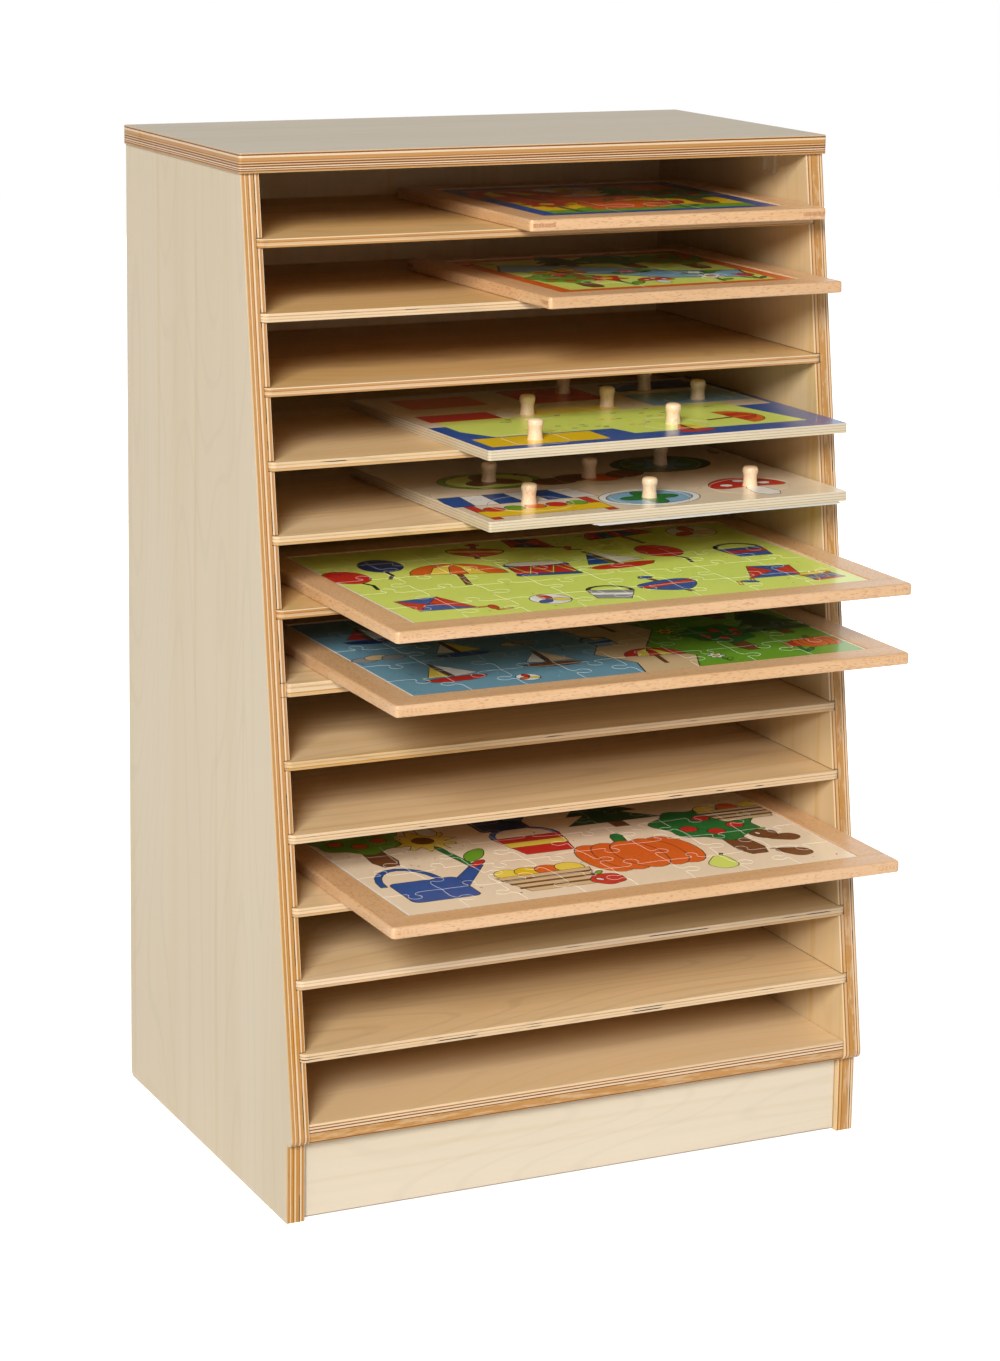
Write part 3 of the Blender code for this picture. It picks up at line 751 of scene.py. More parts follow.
def corner_block(node, material):
    """Moulded fixing block, a thin plate with round corners that lies on the side of the cabinet."""
    low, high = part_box(node)
    width, depth, height = (high - low) / MM
    outline = inset(depth, height, BLOCK_EDGE, BLOCK_CORNER)
    rings = eased(width, 0.0, BLOCK_EDGE, BLOCK_EDGE)
    # The edges are painted with a highlight, which also makes them less clear than the faces
    mesh = plate(node + "_moulding", outline, rings, wall=lambda spot: EDGE_WHITE_AND_HIGHLIGHT)
    upright = Matrix(((0, 0, 1, 0), (1, 0, 0, 0), (0, 1, 0, 0), (0, 0, 0, 1)))
    mesh.transform(Matrix.Translation(low) @ Matrix.Scale(MM, 4) @ upright)
    add_piece(mesh, material, "rack", "clear_plastic", node)


def pairs(points):
    """Each point of a closed outline with the next one."""
    return zip(points, [*points[1:], points[0]])


def rounded(points, rounds=2):
    """Closed outline with its corners cut off again and again until it is smooth."""
    points = [Vector(point) for point in points]
    for _ in range(rounds):
        points = [spot for a, b in pairs(points) for spot in (a.lerp(b, 0.25), a.lerp(b, 0.75))]
    return points


def area(points):
    return sum(a.x * b.y - b.x * a.y for a, b in pairs(points)) / 2


def outward(points):
    """Step for each point of a closed loop that moves both of its edges one unit to the right."""
    sides = [Vector((b.y - a.y, a.x - b.x)).normalized() for a, b in pairs(points)]
    steps = []
    for before, after in zip([sides[-1], *sides[:-1]], sides):
        middle = (before + after).normalized()
        steps.append(middle / max(0.5, middle.dot(after)))
    return steps


def swell(points, by):
    """Closed outline made larger all round, or smaller where by is negative."""
    points = [Vector(point) for point in points]
    if area(points) < 0:
        points.reverse()
    return [point + step * by for point, step in zip(points, outward(points))]


def arc(x, y, across, up, degrees):
    """Points about a middle, one at each angle."""
    return [(x + across * math.cos(a), y + up * math.sin(a)) for a in map(math.radians, degrees)]


def oblong(left, front, right, back, radius=0.0, steps=4):
    if not radius:
        return [Vector(spot) for spot in ((left, front), (right, front), (right, back), (left, back))]
    middles = ((right - radius, front + radius, -90), (right - radius, back - radius, 0))
    middles += ((left + radius, back - radius, 90), (left + radius, front + radius, 180))
    outline = []
    for x, y, start in middles:
        turns = [start + 90 * step / steps for step in range(steps + 1)]
        outline += map(Vector, arc(x, y, radius, radius, turns))
    return outline


def inset(width, depth, rim, radius=0.0):
    """Rectangle inside a sheet by a rim."""
    return oblong(rim, rim, width - rim, depth - rim, radius)


def studded(outline, spots):
    """Closed outline with more points on its straight runs."""
    spots = [Vector(spot) for spot in spots]
    full = []
    for a, b in pairs(outline):
        run = b - a
        ways = [(run.dot(spot - a), spot) for spot in spots if abs(run.cross(spot - a)) < 1e-3]
        ways = [(way, spot) for way, spot in ways if 0 < way < run.dot(run)]
        full += [a, *(spot for _, spot in sorted(ways, key=lambda item: item[0]))]
    return full


def wave(x, y, radius, waves=(), points=72):
    """Round outline whose radius swells and shrinks: each wave is a number of lobes, a height and a turn."""
    outline = []
    for step in range(points):
        angle = 2 * math.pi * step / points
        reach = radius
        for lobes, height, turn in waves:
            reach += radius * height * math.cos(lobes * (angle - math.radians(turn)))
        outline.append(Vector((x + reach * math.cos(angle), y + reach * math.sin(angle))))
    return outline


def oval(x, y, across, along, turn=0.0, points=20):
    spin = Matrix.Rotation(math.radians(turn), 2)
    circle = wave(0, 0, 1.0, points=points)
    return [Vector((x, y)) + spin @ Vector((spot.x * across / 2, spot.y * along / 2)) for spot in circle]


def strip(line, width):
    """Closed outline of a line with a width."""
    line = [Vector(point) for point in line]
    ways = [(b - a).normalized() for a, b in zip(line, line[1:])]
    left = []
    right = []
    for point, before, after in zip(line, [ways[0], *ways], [*ways, ways[-1]]):
        along = (before + after).normalized()
        side = Vector((-along.y, along.x)) * width / 2 / max(0.6, along.dot(after))
        left.append(point + side)
        right.append(point - side)
    return right + left[::-1]


def tab_line(start, end, side, rng):
    """Jigsaw cut from one corner to the next, with a round tab to one side."""
    along = end - start
    aside = Vector((-along.y, along.x)) * side
    middle = 0.5 + rng.uniform(-0.06, 0.06)
    neck = rng.uniform(0.050, 0.065)
    bulb = rng.uniform(0.10, 0.12)
    sway = rng.uniform(-0.03, 0.03)
    spots = [(0.0, 0.0), (0.14, sway), (middle - 0.16, sway)]
    spots += [(middle - neck - 0.02, 0.02), (middle - neck, 0.07)]
    spots += arc(middle, 0.18, bulb, bulb, range(215, -36, -25))
    spots += [(middle + neck, 0.07), (middle + neck + 0.02, 0.02)]
    spots += [(middle + 0.16, -sway), (0.86, -sway), (1.0, 0.0)]
    return [start + along * t + aside * height for t, height in spots]


def jigsaw(width, depth, columns, rows, seed):
    """Cut lines of a jigsaw, which run a little past its edges."""
    rng = random.Random(seed)
    loose = 0.06 * width / columns
    places = [(i, j) for i in range(columns + 1) for j in range(rows + 1)]
    grid = {}
    for i, j in places:
        x = width * i / columns
        y = depth * j / rows
        if 0 < i < columns:
            x += rng.uniform(-loose, loose)
        if 0 < j < rows:
            y += rng.uniform(-loose, loose)
        grid[i, j] = Vector((x + (i == columns) - (i == 0), y + (j == rows) - (j == 0)))
    lines = []
    for i, j in places:
        if 0 < i < columns and j < rows:
            lines.append(tab_line(grid[i, j], grid[i, j + 1], rng.choice((-1, 1)), rng))
        if 0 < j < rows and i < columns:
            lines.append(tab_line(grid[i, j], grid[i + 1, j], rng.choice((-1, 1)), rng))
    return lines


def triangles(shapes, lines=()):
    """Triangles over closed shapes that may overlap, with lines drawn into them.

    Returns the points, the triangles, and the shapes that each triangle lies in.
    """
    points = []
    loops = []
    edges = []
    for shape in shapes:
        loop = list(range(len(points), len(points) + len(shape)))
        points.extend(Vector(point) for point in shape)
        loops.append(loop if area(points[loop[0]:]) > 0 else loop[::-1])
    for line in lines:
        edges.extend((i, i + 1) for i in range(len(points), len(points) + len(line) - 1))
        points.extend(Vector(point) for point in line)
    spots, _, faces, _, _, inside = delaunay_2d_cdt(points, edges, loops, 1, 1e-4)
    turned = []
    for face in faces:
        a, b, c = (spots[i] for i in face)
        turned.append(list(face) if (b - a).cross(c - a) > 0 else list(face)[::-1])
    return spots, turned, inside


def edge_loops(faces):
    """Loops of the open edges of a set of faces, each with the faces on its left."""
    edges = {edge for face in faces for edge in pairs(face)}
    following = {a: b for a, b in edges if (b, a) not in edges}
    loops = []
    while following:
        loop = [next(iter(following))]
        while loop[-1] in following:
            loop.append(following.pop(loop[-1]))
        loops.append(loop[:-1])
    return loops


def eased(top, bottom, radius, low_radius=0.0, steps=4):
    """Rings of an edge from the top to the bottom: a step outward, from 0 at the top, and a height each."""
    turns = [math.pi / 2 * step / steps for step in range(steps + 1)]
    rings = [(radius * math.sin(turn), top - radius * (1 - math.cos(turn))) for turn in turns]
    for turn in turns if low_radius else turns[:1]:
        step = radius - low_radius * (1 - math.cos(turn))
        rings.append((step, bottom + low_radius * (1 - math.sin(turn))))
    return rings


def plate(
    name, outline, rings, ground=BARE, layers=(), holes=(), hole_rings=None, cuts=(), wall=None, smooth=40,
):
    """Flat piece, in the millimetres of its tray, with printed layers on its top.

    Outline and holes are those of the flat top. Rings lead from there down the edge. Cuts are jigsaw lines,
    which become fine grooves. Wall gives the paint of an edge face from its middle.
    """
    paints_on_top = [ground, *((*colour, 1.0) for _, colour in layers)]
    strips = [strip(line, CUT_WIDTH) for line in cuts]
    first_hole = len(paints_on_top) + len(strips)
    shapes = [outline, *(shape for shape, _ in layers), *strips, *holes]
    spots, found, inside = triangles(shapes, cuts)
    faces = []
    paints = []
    level = set()
    for face, within in zip(found, inside):
        if 0 in within and max(within) < first_hole:
            faces.append(face)
            paint = paints_on_top[max(layer for layer in within if layer < len(paints_on_top))]
            if max(within) < len(paints_on_top):
                level.update(face)
            else:
                # In a cut groove the print turns towards edge white: the card's own colour and a painted
                # highlight
                paint = tuple(Vector(paint).lerp(EDGE_WHITE_AND_HIGHLIGHT, CUT_SHOWS))
            paints.append(paint)
    used = sorted({corner for face in faces for corner in face})
    place = {corner: number for number, corner in enumerate(used)}
    top = rings[0][1]
    points = [(*spots[corner], top if corner in level else top - CUT_DEPTH) for corner in used]
    faces = [[place[corner] for corner in face] for face in faces]
    low_loops = []
    for loop in edge_loops(faces):
        spots = [Vector(points[corner][:2]) for corner in loop]
        steps = outward(spots)
        upper = loop
        for step, height in (rings if area(spots) > 0 or not hole_rings else hole_rings)[1:]:
            lower = list(range(len(points), len(points) + len(loop)))
            points.extend((*(spot + way * step), height) for spot, way in zip(spots, steps))
            for (a, b), (c, d) in zip(pairs(upper), pairs(lower)):
                faces.append([a, c, d, b])
                middle = (Vector(points[a]) + Vector(points[d])) / 2
                paints.append(wall(middle) if wall else BARE)
            upper = lower
        low_loops.append(upper)
    low_shapes = [[Vector(points[corner][:2]) for corner in loop] for loop in low_loops]
    solid = {number for number, shape in enumerate(low_shapes) if area(shape) > 0}
    spots, found, inside = triangles(low_shapes)
    first = len(points)
    points.extend((*spot, rings[-1][1]) for spot in spots)
    for face, within in zip(found, inside):
        if solid.issuperset(within):
            faces.append([first + corner for corner in face[::-1]])
            paints.append(BARE)
    return painted_mesh(name, points, faces, paints, smooth)


def painted_mesh(name, points, faces, paints, smooth):
    mesh = bpy.data.meshes.new(name)
    mesh.from_pydata(points, [], faces)
    paint = mesh.attributes.new("paint", "FLOAT_COLOR", "CORNER")
    values = []
    for face, colour in zip(faces, paints):
        values.extend(colour * len(face))
    paint.data.foreach_set("color", values)
    joined = bmesh.new()
    joined.from_mesh(mesh)
    bmesh.ops.remove_doubles(joined, verts=joined.verts, dist=0.002)
    joined.to_mesh(mesh)
    joined.free()
    mesh.set_sharp_from_angle(angle=math.radians(smooth))
    mesh.polygons.foreach_set("use_smooth", [abs(face.normal.z) < LEVEL for face in mesh.polygons])
    return mesh


class Tray:
    """A puzzle's place: its body, and the way from its own space to the frame's.

    Its own space is in millimetres: x from the left end, y from the front edge to the back, z up.
    """

    def __init__(self, body, node):
        axis = next(joint["axis"] for joint in frame["joints"] if joint["child"] == body)
        self.body = body
        self.turn = math.atan2(axis[0], -axis[1])
        self.corner, far = self.corners(node)
        self.width, self.depth, self.height = (far - self.corner) / MM
        turn = Matrix.Rotation(self.turn, 4, "Z")
        self.to_frame = turn @ Matrix.Translation(self.corner) @ Matrix.Scale(MM, 4)

    def corners(self, node):
        back = Matrix.Rotation(-self.turn, 3, "Z")
        points = [back @ vertex.co for vertex in NODES[node].data.vertices]
        return Vector(map(min, zip(*points))), Vector(map(max, zip(*points)))

    def box(self, node):
        low, high = self.corners(node)
        return (low - self.corner) / MM, (high - self.corner) / MM

    def add(self, mesh, material, slot, *nodes, body=None):
        mesh.transform(self.to_frame)
        add_piece(mesh, material, body or self.body, slot, *nodes)


def put(motif, x, y, size, turn=0.0, ink=0.9):
    """Motif drawn at a place in millimetres, with an ink line round each of its shapes."""
    spin = Matrix.Rotation(math.radians(turn), 2) * size
    layers = []
    for shape, colour in motif:
        placed = [Vector((x, y)) + spin @ Vector(point) for point in shape]
        layers += [(swell(placed, ink), INK), (placed, colour)]
    return layers


def plan(width, depth, *items):
    """Motifs laid out over a sheet. Places are shares of its width and depth, sizes are millimetres."""
    layers = []
    for motif, across, back, size, turn in items:
        layers += put(motif, across * width, back * depth, size, turn)
    return layers


def specks(width, depth, colours, count, length, seed):
    """Short strokes strewn over a sheet."""
    rng = random.Random(seed)
    layers = []
    for _ in range(count):
        start = Vector((rng.uniform(0.03, 0.97) * width, rng.uniform(0.03, 0.97) * depth))
        angle = rng.uniform(0.0, math.tau)
        end = start + Vector((math.cos(angle), math.sin(angle))) * length * rng.uniform(0.5, 1.2)
        layers.append((strip([start, end], rng.uniform(0.9, 1.7)), rng.choice(colours)))
    return layers


def kite(first, second, tail):
    top, right, foot, left, heart = (0, 1), (0.34, 0.64), (0, 0.12), (-0.34, 0.64), (0, 0.64)
    line = [(0, 0.12), (0.09, 0.02), (-0.04, -0.1), (0.07, -0.22)]
    return [
        (strip(line, 0.03), tail), (oval(0.06, -0.02, 0.2, 0.09, 30, 12), first),
        ([top, left, heart], first), ([top, heart, right], second),
        ([left, foot, heart], second), ([heart, foot, right], first),
    ]


def drum(body, rim, skin=WHITE):
    zigzag = [(-0.4, 0.68), (-0.24, 0.2), (-0.08, 0.68), (0.08, 0.2), (0.24, 0.68), (0.4, 0.2)]
    return [
        (oblong(-0.42, 0.1, 0.42, 0.74, 0.08), body), (strip(zigzag, 0.035), SUNNY),
        (oblong(-0.45, 0.06, 0.45, 0.18, 0.04), rim), (oblong(-0.45, 0.64, 0.45, 0.76, 0.04), rim),
        (oval(0, 0.78, 0.84, 0.24), skin),
    ]


def bucket(body, band, handle):
    return [
        (strip(arc(0, 0.66, 0.38, 0.34, range(0, 181, 20)), 0.05), handle),
        ([(-0.28, 0.05), (0.28, 0.05), (0.4, 0.66), (-0.4, 0.66)], body),
        ([(-0.34, 0.32), (0.34, 0.32), (0.37, 0.48), (-0.37, 0.48)], band),
    ]


def sunshade(first, second):
    shapes = [(strip([(0, 0), (0, 0.6)], 0.05), BROWN), (arc(0, 0.5, 0.5, 0.48, range(0, 181, 15)), first)]
    for left, right in ((-0.3, -0.1), (0.1, 0.3)):
        gore = [(left, 0.5), (right, 0.5), (right * 0.6, 0.8), (0, 0.97), (left * 0.7, 0.8)]
        shapes.append((gore, second))
    return shapes


def ball(first, second):
    shapes = [(oval(0, 0.5, 1, 1, 0, 28), WHITE)]
    for turn, colour in ((90, first), (210, second), (330, SUNNY)):
        middle = Vector((0, 0.5)) + Vector(*arc(0, 0, 1, 1, [turn])) * 0.26
        shapes.append((oval(*middle, 0.44, 0.27, turn, 16), colour))
    return shapes


def boat(hull, sail, jib):
    return [
        (strip([(0, 0.2), (0, 1)], 0.04), BROWN), ([(0.05, 0.3), (0.42, 0.34), (0.05, 0.95)], sail),
        ([(-0.05, 0.3), (-0.05, 0.85), (-0.34, 0.34)], jib),
        (rounded([(-0.5, 0.24), (-0.34, 0.02), (0.34, 0.02), (0.52, 0.24)], 1), hull),
    ]


def spinning_top(first, second):
    cone = [(-0.46, 0.52), (-0.3, 0.26), (0, 0.08), (0.3, 0.26), (0.46, 0.52), (0.3, 0.68), (-0.3, 0.68)]
    return [
        (strip([(0, 0), (0, 1)], 0.06), BROWN), (oval(0, 0.92, 0.2, 0.12), first),
        (rounded(cone), first), (oblong(-0.4, 0.42, 0.4, 0.54, 0.03), second),
    ]


def tree(crown, fruit=None):
    shapes = [(rounded([(-0.1, 0), (0.1, 0), (0.06, 0.45), (-0.06, 0.45)], 1), BROWN)]
    shapes.append((wave(0, 0.66, 0.32, ((7, 0.09, 10), (3, 0.06, 40)), 44), crown))
    if fruit:
        for x, y in ((-0.16, 0.6), (0.02, 0.78), (0.15, 0.58), (-0.02, 0.5), (0.2, 0.74)):
            shapes.append((oval(x, y, 0.11, 0.11, 0, 12), fruit))
    return shapes


def flower(petal, heart, lobes=6):
    leaf = [(0, 0.05), (0.2, 0.12), (0.34, 0.36), (0.1, 0.28)]
    return [
        (strip([(0, 0), (0.02, 0.6)], 0.05), LEAF), (rounded(leaf), GRASS),
        (wave(0.02, 0.72, 0.22, ((lobes, 0.28, 90),), 40), petal),
        (oval(0.02, 0.72, 0.17, 0.17, 0, 14), heart),
    ]


def tulip(bloom):
    cup = [(-0.18, 0.62), (-0.21, 1), (-0.08, 0.84), (0.02, 1.02), (0.1, 0.84), (0.24, 1), (0.21, 0.62)]
    cup.append((0.02, 0.5))
    left = [(0, 0.02), (-0.2, 0.18), (-0.3, 0.5), (-0.1, 0.3)]
    right = [(0, 0.02), (0.22, 0.14), (0.33, 0.42), (0.13, 0.27)]
    stem = strip([(0, 0), (0.02, 0.6)], 0.06)
    return [(stem, LEAF), (rounded(left), GRASS), (rounded(right), LEAF), (rounded(cup, 1), bloom)]


def toadstool(cap):
    dome = [(-0.5, 0.42), (-0.4, 0.8), (0, 1.02), (0.4, 0.8), (0.5, 0.42), (0, 0.5)]
    dots = ((-0.24, 0.62), (0.02, 0.8), (0.24, 0.62))
    shapes = [(rounded([(-0.16, 0), (0.16, 0), (0.1, 0.5), (-0.1, 0.5)], 1), WHITE), (rounded(dome), cap)]
    return shapes + [(oval(x, y, 0.15, 0.12, 0, 12), WHITE) for x, y in dots]


def butterfly(wing, spot):
    shapes = []
    for side in (-1, 1):
        shapes.append((oval(side * 0.27, 0.66, 0.5, 0.4, side * 35), wing))
        shapes.append((oval(side * 0.22, 0.32, 0.36, 0.32, side * -30), spot))
        shapes.append((oval(side * 0.3, 0.68, 0.2, 0.16, side * 35, 12), spot))
    return shapes + [(oval(0, 0.5, 0.09, 0.7, 0, 14), INK)]


def pumpkin(skin):
    stalk = rounded([(-0.05, 0.7), (0.05, 0.7), (0.12, 0.98), (0.0, 0.95)], 1)
    return [(stalk, LEAF), *((oval(x, 0.4, 0.38, 0.74, 0, 20), skin) for x in (-0.32, 0.32, -0.17, 0.17, 0))]


def apple(skin):
    return [
        (strip([(0, 0.72), (0.05, 0.98)], 0.05), BROWN), (oval(0.2, 0.9, 0.3, 0.13, 25, 14), GRASS),
        (wave(0, 0.42, 0.4, ((2, -0.04, 90), (5, 0.05, 90)), 32), skin),
        (oval(-0.16, 0.52, 0.1, 0.2, 20, 12), WHITE),
    ]


def pear(skin):
    body = [(-0.34, 0.24), (-0.2, 0.62), (-0.1, 0.86), (0.1, 0.86), (0.2, 0.62), (0.34, 0.24)]
    body += [(0.12, 0), (-0.12, 0)]
    return [(strip([(0, 0.8), (0.06, 1)], 0.05), BROWN), (rounded(body), skin)]


def basket(fruits):
    shapes = []
    for number, fruit in enumerate(fruits):
        shapes.append((oval(-0.34 + 0.68 * number / (len(fruits) - 1), 0.58, 0.3, 0.3, 0, 18), fruit))
    shapes.append(([(-0.36, 0), (0.36, 0), (0.52, 0.5), (-0.52, 0.5)], SAND))
    for height in (0.12, 0.26, 0.39):
        shapes.append((strip([(-0.4 - height / 4, height), (0.4 + height / 4, height)], 0.03), BROWN))
    return shapes


def watering_can(body, rose):
    return [
        (strip(arc(-0.2, 0.5, 0.26, 0.4, range(10, 200, 19)), 0.05), body),
        ([(0.15, 0.2), (0.55, 0.75), (0.47, 0.8), (0.15, 0.45)], body),
        (oval(0.52, 0.8, 0.08, 0.24, -50, 12), rose), (oblong(-0.4, 0.02, 0.2, 0.55, 0.06), body),
    ]


def lily(bloom):
    return [
        (oval(0, 0.3, 1, 0.42, 8), LEAF), (oval(0.5, 0.5, 0.5, 0.22, -10, 14), GRASS),
        (wave(-0.05, 0.42, 0.2, ((6, 0.25, 90),), 30), bloom),
    ]


def balloon(skin):
    string = strip([(0, 0.36), (0.04, 0.2), (-0.03, 0.0)], 0.025)
    return [(string, INK), (oval(0, 0.68, 0.5, 0.64, 0, 24), skin)]


def fir(green):
    shapes = [(oblong(-0.06, 0, 0.06, 0.25), BROWN)]
    for low, wide in ((0.15, 0.42), (0.4, 0.32), (0.64, 0.22)):
        shapes.append(([(-wide, low), (wide, low), (0, low + 0.4)], green))
    return shapes


def stall():
    shapes = [(oblong(-0.5, 0, -0.43, 0.6), RED), (oblong(0.43, 0, 0.5, 0.6), RED)]
    shapes.append((oblong(-0.5, 0.08, 0.5, 0.28), YELLOW))
    for step in range(5):
        shapes.append((oval(-0.34 + 0.17 * step, 0.33, 0.15, 0.15, 0, 14), (RED, GRASS, ORANGE)[step % 3]))
    for step in range(6):
        x = -0.6 + 0.2 * step
        awning = [(x, 0.5), (x + 0.2, 0.5), (x * 0.9 + 0.18, 0.84), (x * 0.9, 0.84)]
        shapes.append((awning, (BLUE, WHITE)[step % 2]))
    return shapes


def clover(rim, water, leaf, lobes):
    return [
        (oval(0, 0.38, 1.0, 0.76, 0, 32), rim), (oval(0, 0.38, 0.86, 0.6, 0, 32), water),
        (wave(0, 0.38, 0.22, ((lobes, 0.36, 90),), 40), leaf), (oval(0, 0.38, 0.13, 0.11, 0, 14), ORANGE),
    ]


def stones(*colours):
    shapes = []
    for number, colour in enumerate(colours):
        height = 0.2 + 0.1 * (number % 2)
        shapes.append((oval(0.3 * number - 0.45, height, 0.5, 0.34, 9 * number, 18), colour))
    return shapes


def toy_meadow(width, depth):
    """Light green ground with toys."""
    layers = [(inset(width, depth, PICTURE_RIM), LIME)]
    layers += specks(width, depth, (GRASS,), 30, 4.0, 3)
    return layers + plan(
        width, depth, (kite(RED, BLUE, ORANGE), 0.19, 0.10, 88, 52), (ball(RED, BLUE), 0.34, 0.08, 38, 10),
        (bucket(GREY, WHITE, INK), 0.45, 0.07, 54, -20), (spinning_top(BLUE, RED), 0.625, 0.08, 74, 12),
        (kite(BLUE, RED, YELLOW), 0.77, 0.15, 84, -58), (drum(BLUE, RED, SUNNY), 0.94, 0.07, 38, 8),
        (sunshade(ORANGE, SUNNY), 0.24, 0.42, 92, -14), (drum(RED, BLUE), 0.43, 0.44, 70, -8),
        (boat(RED, WHITE, BLUE), 0.61, 0.46, 80, 6), (balloon(RED), 0.76, 0.46, 84, 8),
        (bucket(BLUE, RED, INK), 0.91, 0.46, 60, 0), (balloon(RED), 0.06, 0.46, 84, 10),
        (balloon(NAVY), 0.12, 0.58, 84, -12), (spinning_top(RED, SUNNY), 0.36, 0.76, 66, -20),
        (kite(RED, NAVY, BLUE), 0.57, 0.80, 70, 35), (sunshade(RED, BLUE), 0.75, 0.78, 74, 8),
        (ball(ORANGE, RED), 0.9, 0.80, 50, 0),
    )


def lake_side(width, depth):
    """Open water with boats, a beach in the middle and a wooded meadow on the right."""
    edge = PICTURE_RIM
    shore = [(0.50, 0.0), (0.52, 0.12), (0.47, 0.26), (0.53, 0.42), (0.50, 0.6), (0.40, 0.8), (0.36, 1.0)]
    path = [(0.62, 0.0), (0.66, 0.14), (0.60, 0.3), (0.68, 0.5), (0.63, 0.72), (0.55, 1.0)]
    right = [Vector((width - edge, depth - edge)), Vector((width - edge, edge))]
    layers = [(inset(width, depth, edge), WATER)]
    for line, ink, ground in ((shore, 1.4, SAND), (path, 1.2, GRASS)):
        bank = [Vector((x * width, edge + y * (depth - 2 * edge))) for x, y in line]
        layers += [(bank + right, ground), (strip(bank, ink), INK)]
    layers += specks(width * 0.46, depth, (SKY, BLUE), 40, 8.0, 5)
    return layers + plan(
        width, depth, (boat(RED, WHITE, SUNNY), 0.14, 0.12, 66, 4), (ball(RED, ORANGE), 0.27, 0.05, 22, 0),
        (boat(BROWN, SAND, WHITE), 0.36, 0.18, 62, -5), (boat(BLUE, SUNNY, WHITE), 0.23, 0.40, 60, 0),
        (stones(GREY, SAND, GREY), 0.08, 0.44, 50, 4), (stones(SAND, GREY), 0.40, 0.46, 44, 0),
        (boat(NAVY, WHITE, RED), 0.11, 0.66, 64, -4), (boat(RED, WHITE, SKY), 0.30, 0.74, 56, 3),
        (sunshade(RED, SUNNY), 0.575, 0.09, 58, -8), (bucket(SKY, BLUE, INK), 0.535, 0.36, 36, 8),
        (sunshade(ORANGE, WHITE), 0.60, 0.52, 60, 6), (flower(WHITE, YELLOW), 0.70, 0.04, 30, 10),
        (tree(LEAF, RED), 0.79, 0.14, 104, 0), (tulip(RED), 0.88, 0.05, 42, -6),
        (pumpkin(ORANGE), 0.945, 0.10, 44, 5), (fir(DEEP_GREEN), 0.93, 0.30, 100, 0),
        (flower(SUNNY, ORANGE), 0.70, 0.38, 34, 5), (fir(DEEP_GREEN), 0.74, 0.60, 96, 0),
        (tree(LEAF, ORANGE), 0.86, 0.56, 110, 0), (toadstool(RED), 0.965, 0.68, 40, 0),
    )


def harvest(width, depth):
    """Bare ground with baskets, fruit and garden things."""
    layers = [(inset(width, depth, PICTURE_RIM), BARE_GROUND)]
    layers += specks(width, depth, (BROWN, STRAW), 50, 3.0, 11)
    return layers + plan(
        width, depth, (watering_can(BLUE, RED), 0.14, 0.10, 112, 0),
        (basket((SUNNY, YELLOW, ORANGE, SUNNY)), 0.36, 0.08, 92, 0), (apple(RED), 0.475, 0.05, 40, 20),
        (pumpkin(ORANGE), 0.60, 0.14, 118, 0), (pear(LIME), 0.715, 0.06, 46, -20),
        (flower(SUNNY, BROWN, 11), 0.25, 0.40, 122, 8), (bucket(RED, SUNNY, BLUE), 0.44, 0.42, 88, 0),
        (tree(LEAF, RED), 0.83, 0.16, 158, 0), (pear(BROWN), 0.93, 0.10, 40, 50),
        (pear(BROWN), 0.965, 0.28, 36, 80), (apple(BROWN), 0.905, 0.30, 32, 0),
        (basket((SUNNY, ORANGE, SUNNY)), 0.93, 0.52, 74, 0),
        (tree(GRASS, ORANGE), 0.10, 0.48, 140, 0), (toadstool(RED), 0.26, 0.74, 64, 0),
        (watering_can(NAVY, RED), 0.44, 0.70, 86, 0), (fir(DEEP_GREEN), 0.66, 0.60, 118, 0),
    )


def sunny_hills(width, depth):
    """Blue border round hills under a large sun."""
    rim = 20
    far = width - rim
    hill = [(rim, rim + 14), (width * 0.3, 46), (width * 0.6, 60), (far, 40), (far, 96), (width * 0.7, 124)]
    hill += [(width * 0.4, 88), (rim, 118)]
    meadow = [(rim, rim), (far, rim), (far, 44), (width * 0.62, 52), (width * 0.3, 38), (rim, 44)]
    layers = [(inset(width, depth, PICTURE_RIM), BLUE), (inset(width, depth, rim), ORANGE)]
    return layers + [(hill, YELLOW), (meadow, GRASS)] + plan(
        width, depth, (ball(SUNNY, ORANGE), 0.46, 0.58, 80, 0), (tree(LEAF, RED), 0.80, 0.20, 128, 0),
        (flower(RED, SUNNY, 9), 0.20, 0.10, 96, 4), (pumpkin(ORANGE), 0.46, 0.14, 84, 0),
        (tulip(RED), 0.64, 0.10, 66, -6), (sunshade(RED, SUNNY), 0.24, 0.50, 96, 10),
        (fir(LEAF), 0.66, 0.52, 90, 0),
    )


def pond_garden(width, depth):
    """Orange border round a meadow with a brook, trees and flowers."""
    rim = 17
    bend = [(0.1, 0.72), (0.3, 0.62), (0.48, 0.5), (0.62, 0.34), (0.9, 0.26)]
    brook = strip([(x * width, y * depth) for x, y in bend], 46)
    layers = [(inset(width, depth, PICTURE_RIM), ORANGE), (inset(width, depth, rim), LIME)]
    return layers + [(swell(brook, 3), DEEP_GREEN), (brook, SKY)] + plan(
        width, depth, (tree(GRASS, RED), 0.20, 0.10, 104, 0), (flower(RED, YELLOW), 0.36, 0.10, 74, 6),
        (toadstool(RED), 0.50, 0.12, 40, 0), (lily(ROSE), 0.52, 0.40, 44, 0),
        (lily(WHITE), 0.74, 0.28, 40, 0), (tree(LEAF), 0.62, 0.54, 100, 0),
        (tree(GRASS, ORANGE), 0.84, 0.44, 112, 0), (tulip(RED), 0.88, 0.09, 44, 0),
        (flower(WHITE, ORANGE), 0.72, 0.09, 50, -8), (butterfly(YELLOW, ORANGE), 0.30, 0.44, 54, 20),
        (fir(DEEP_GREEN), 0.40, 0.68, 80, 0),
    )


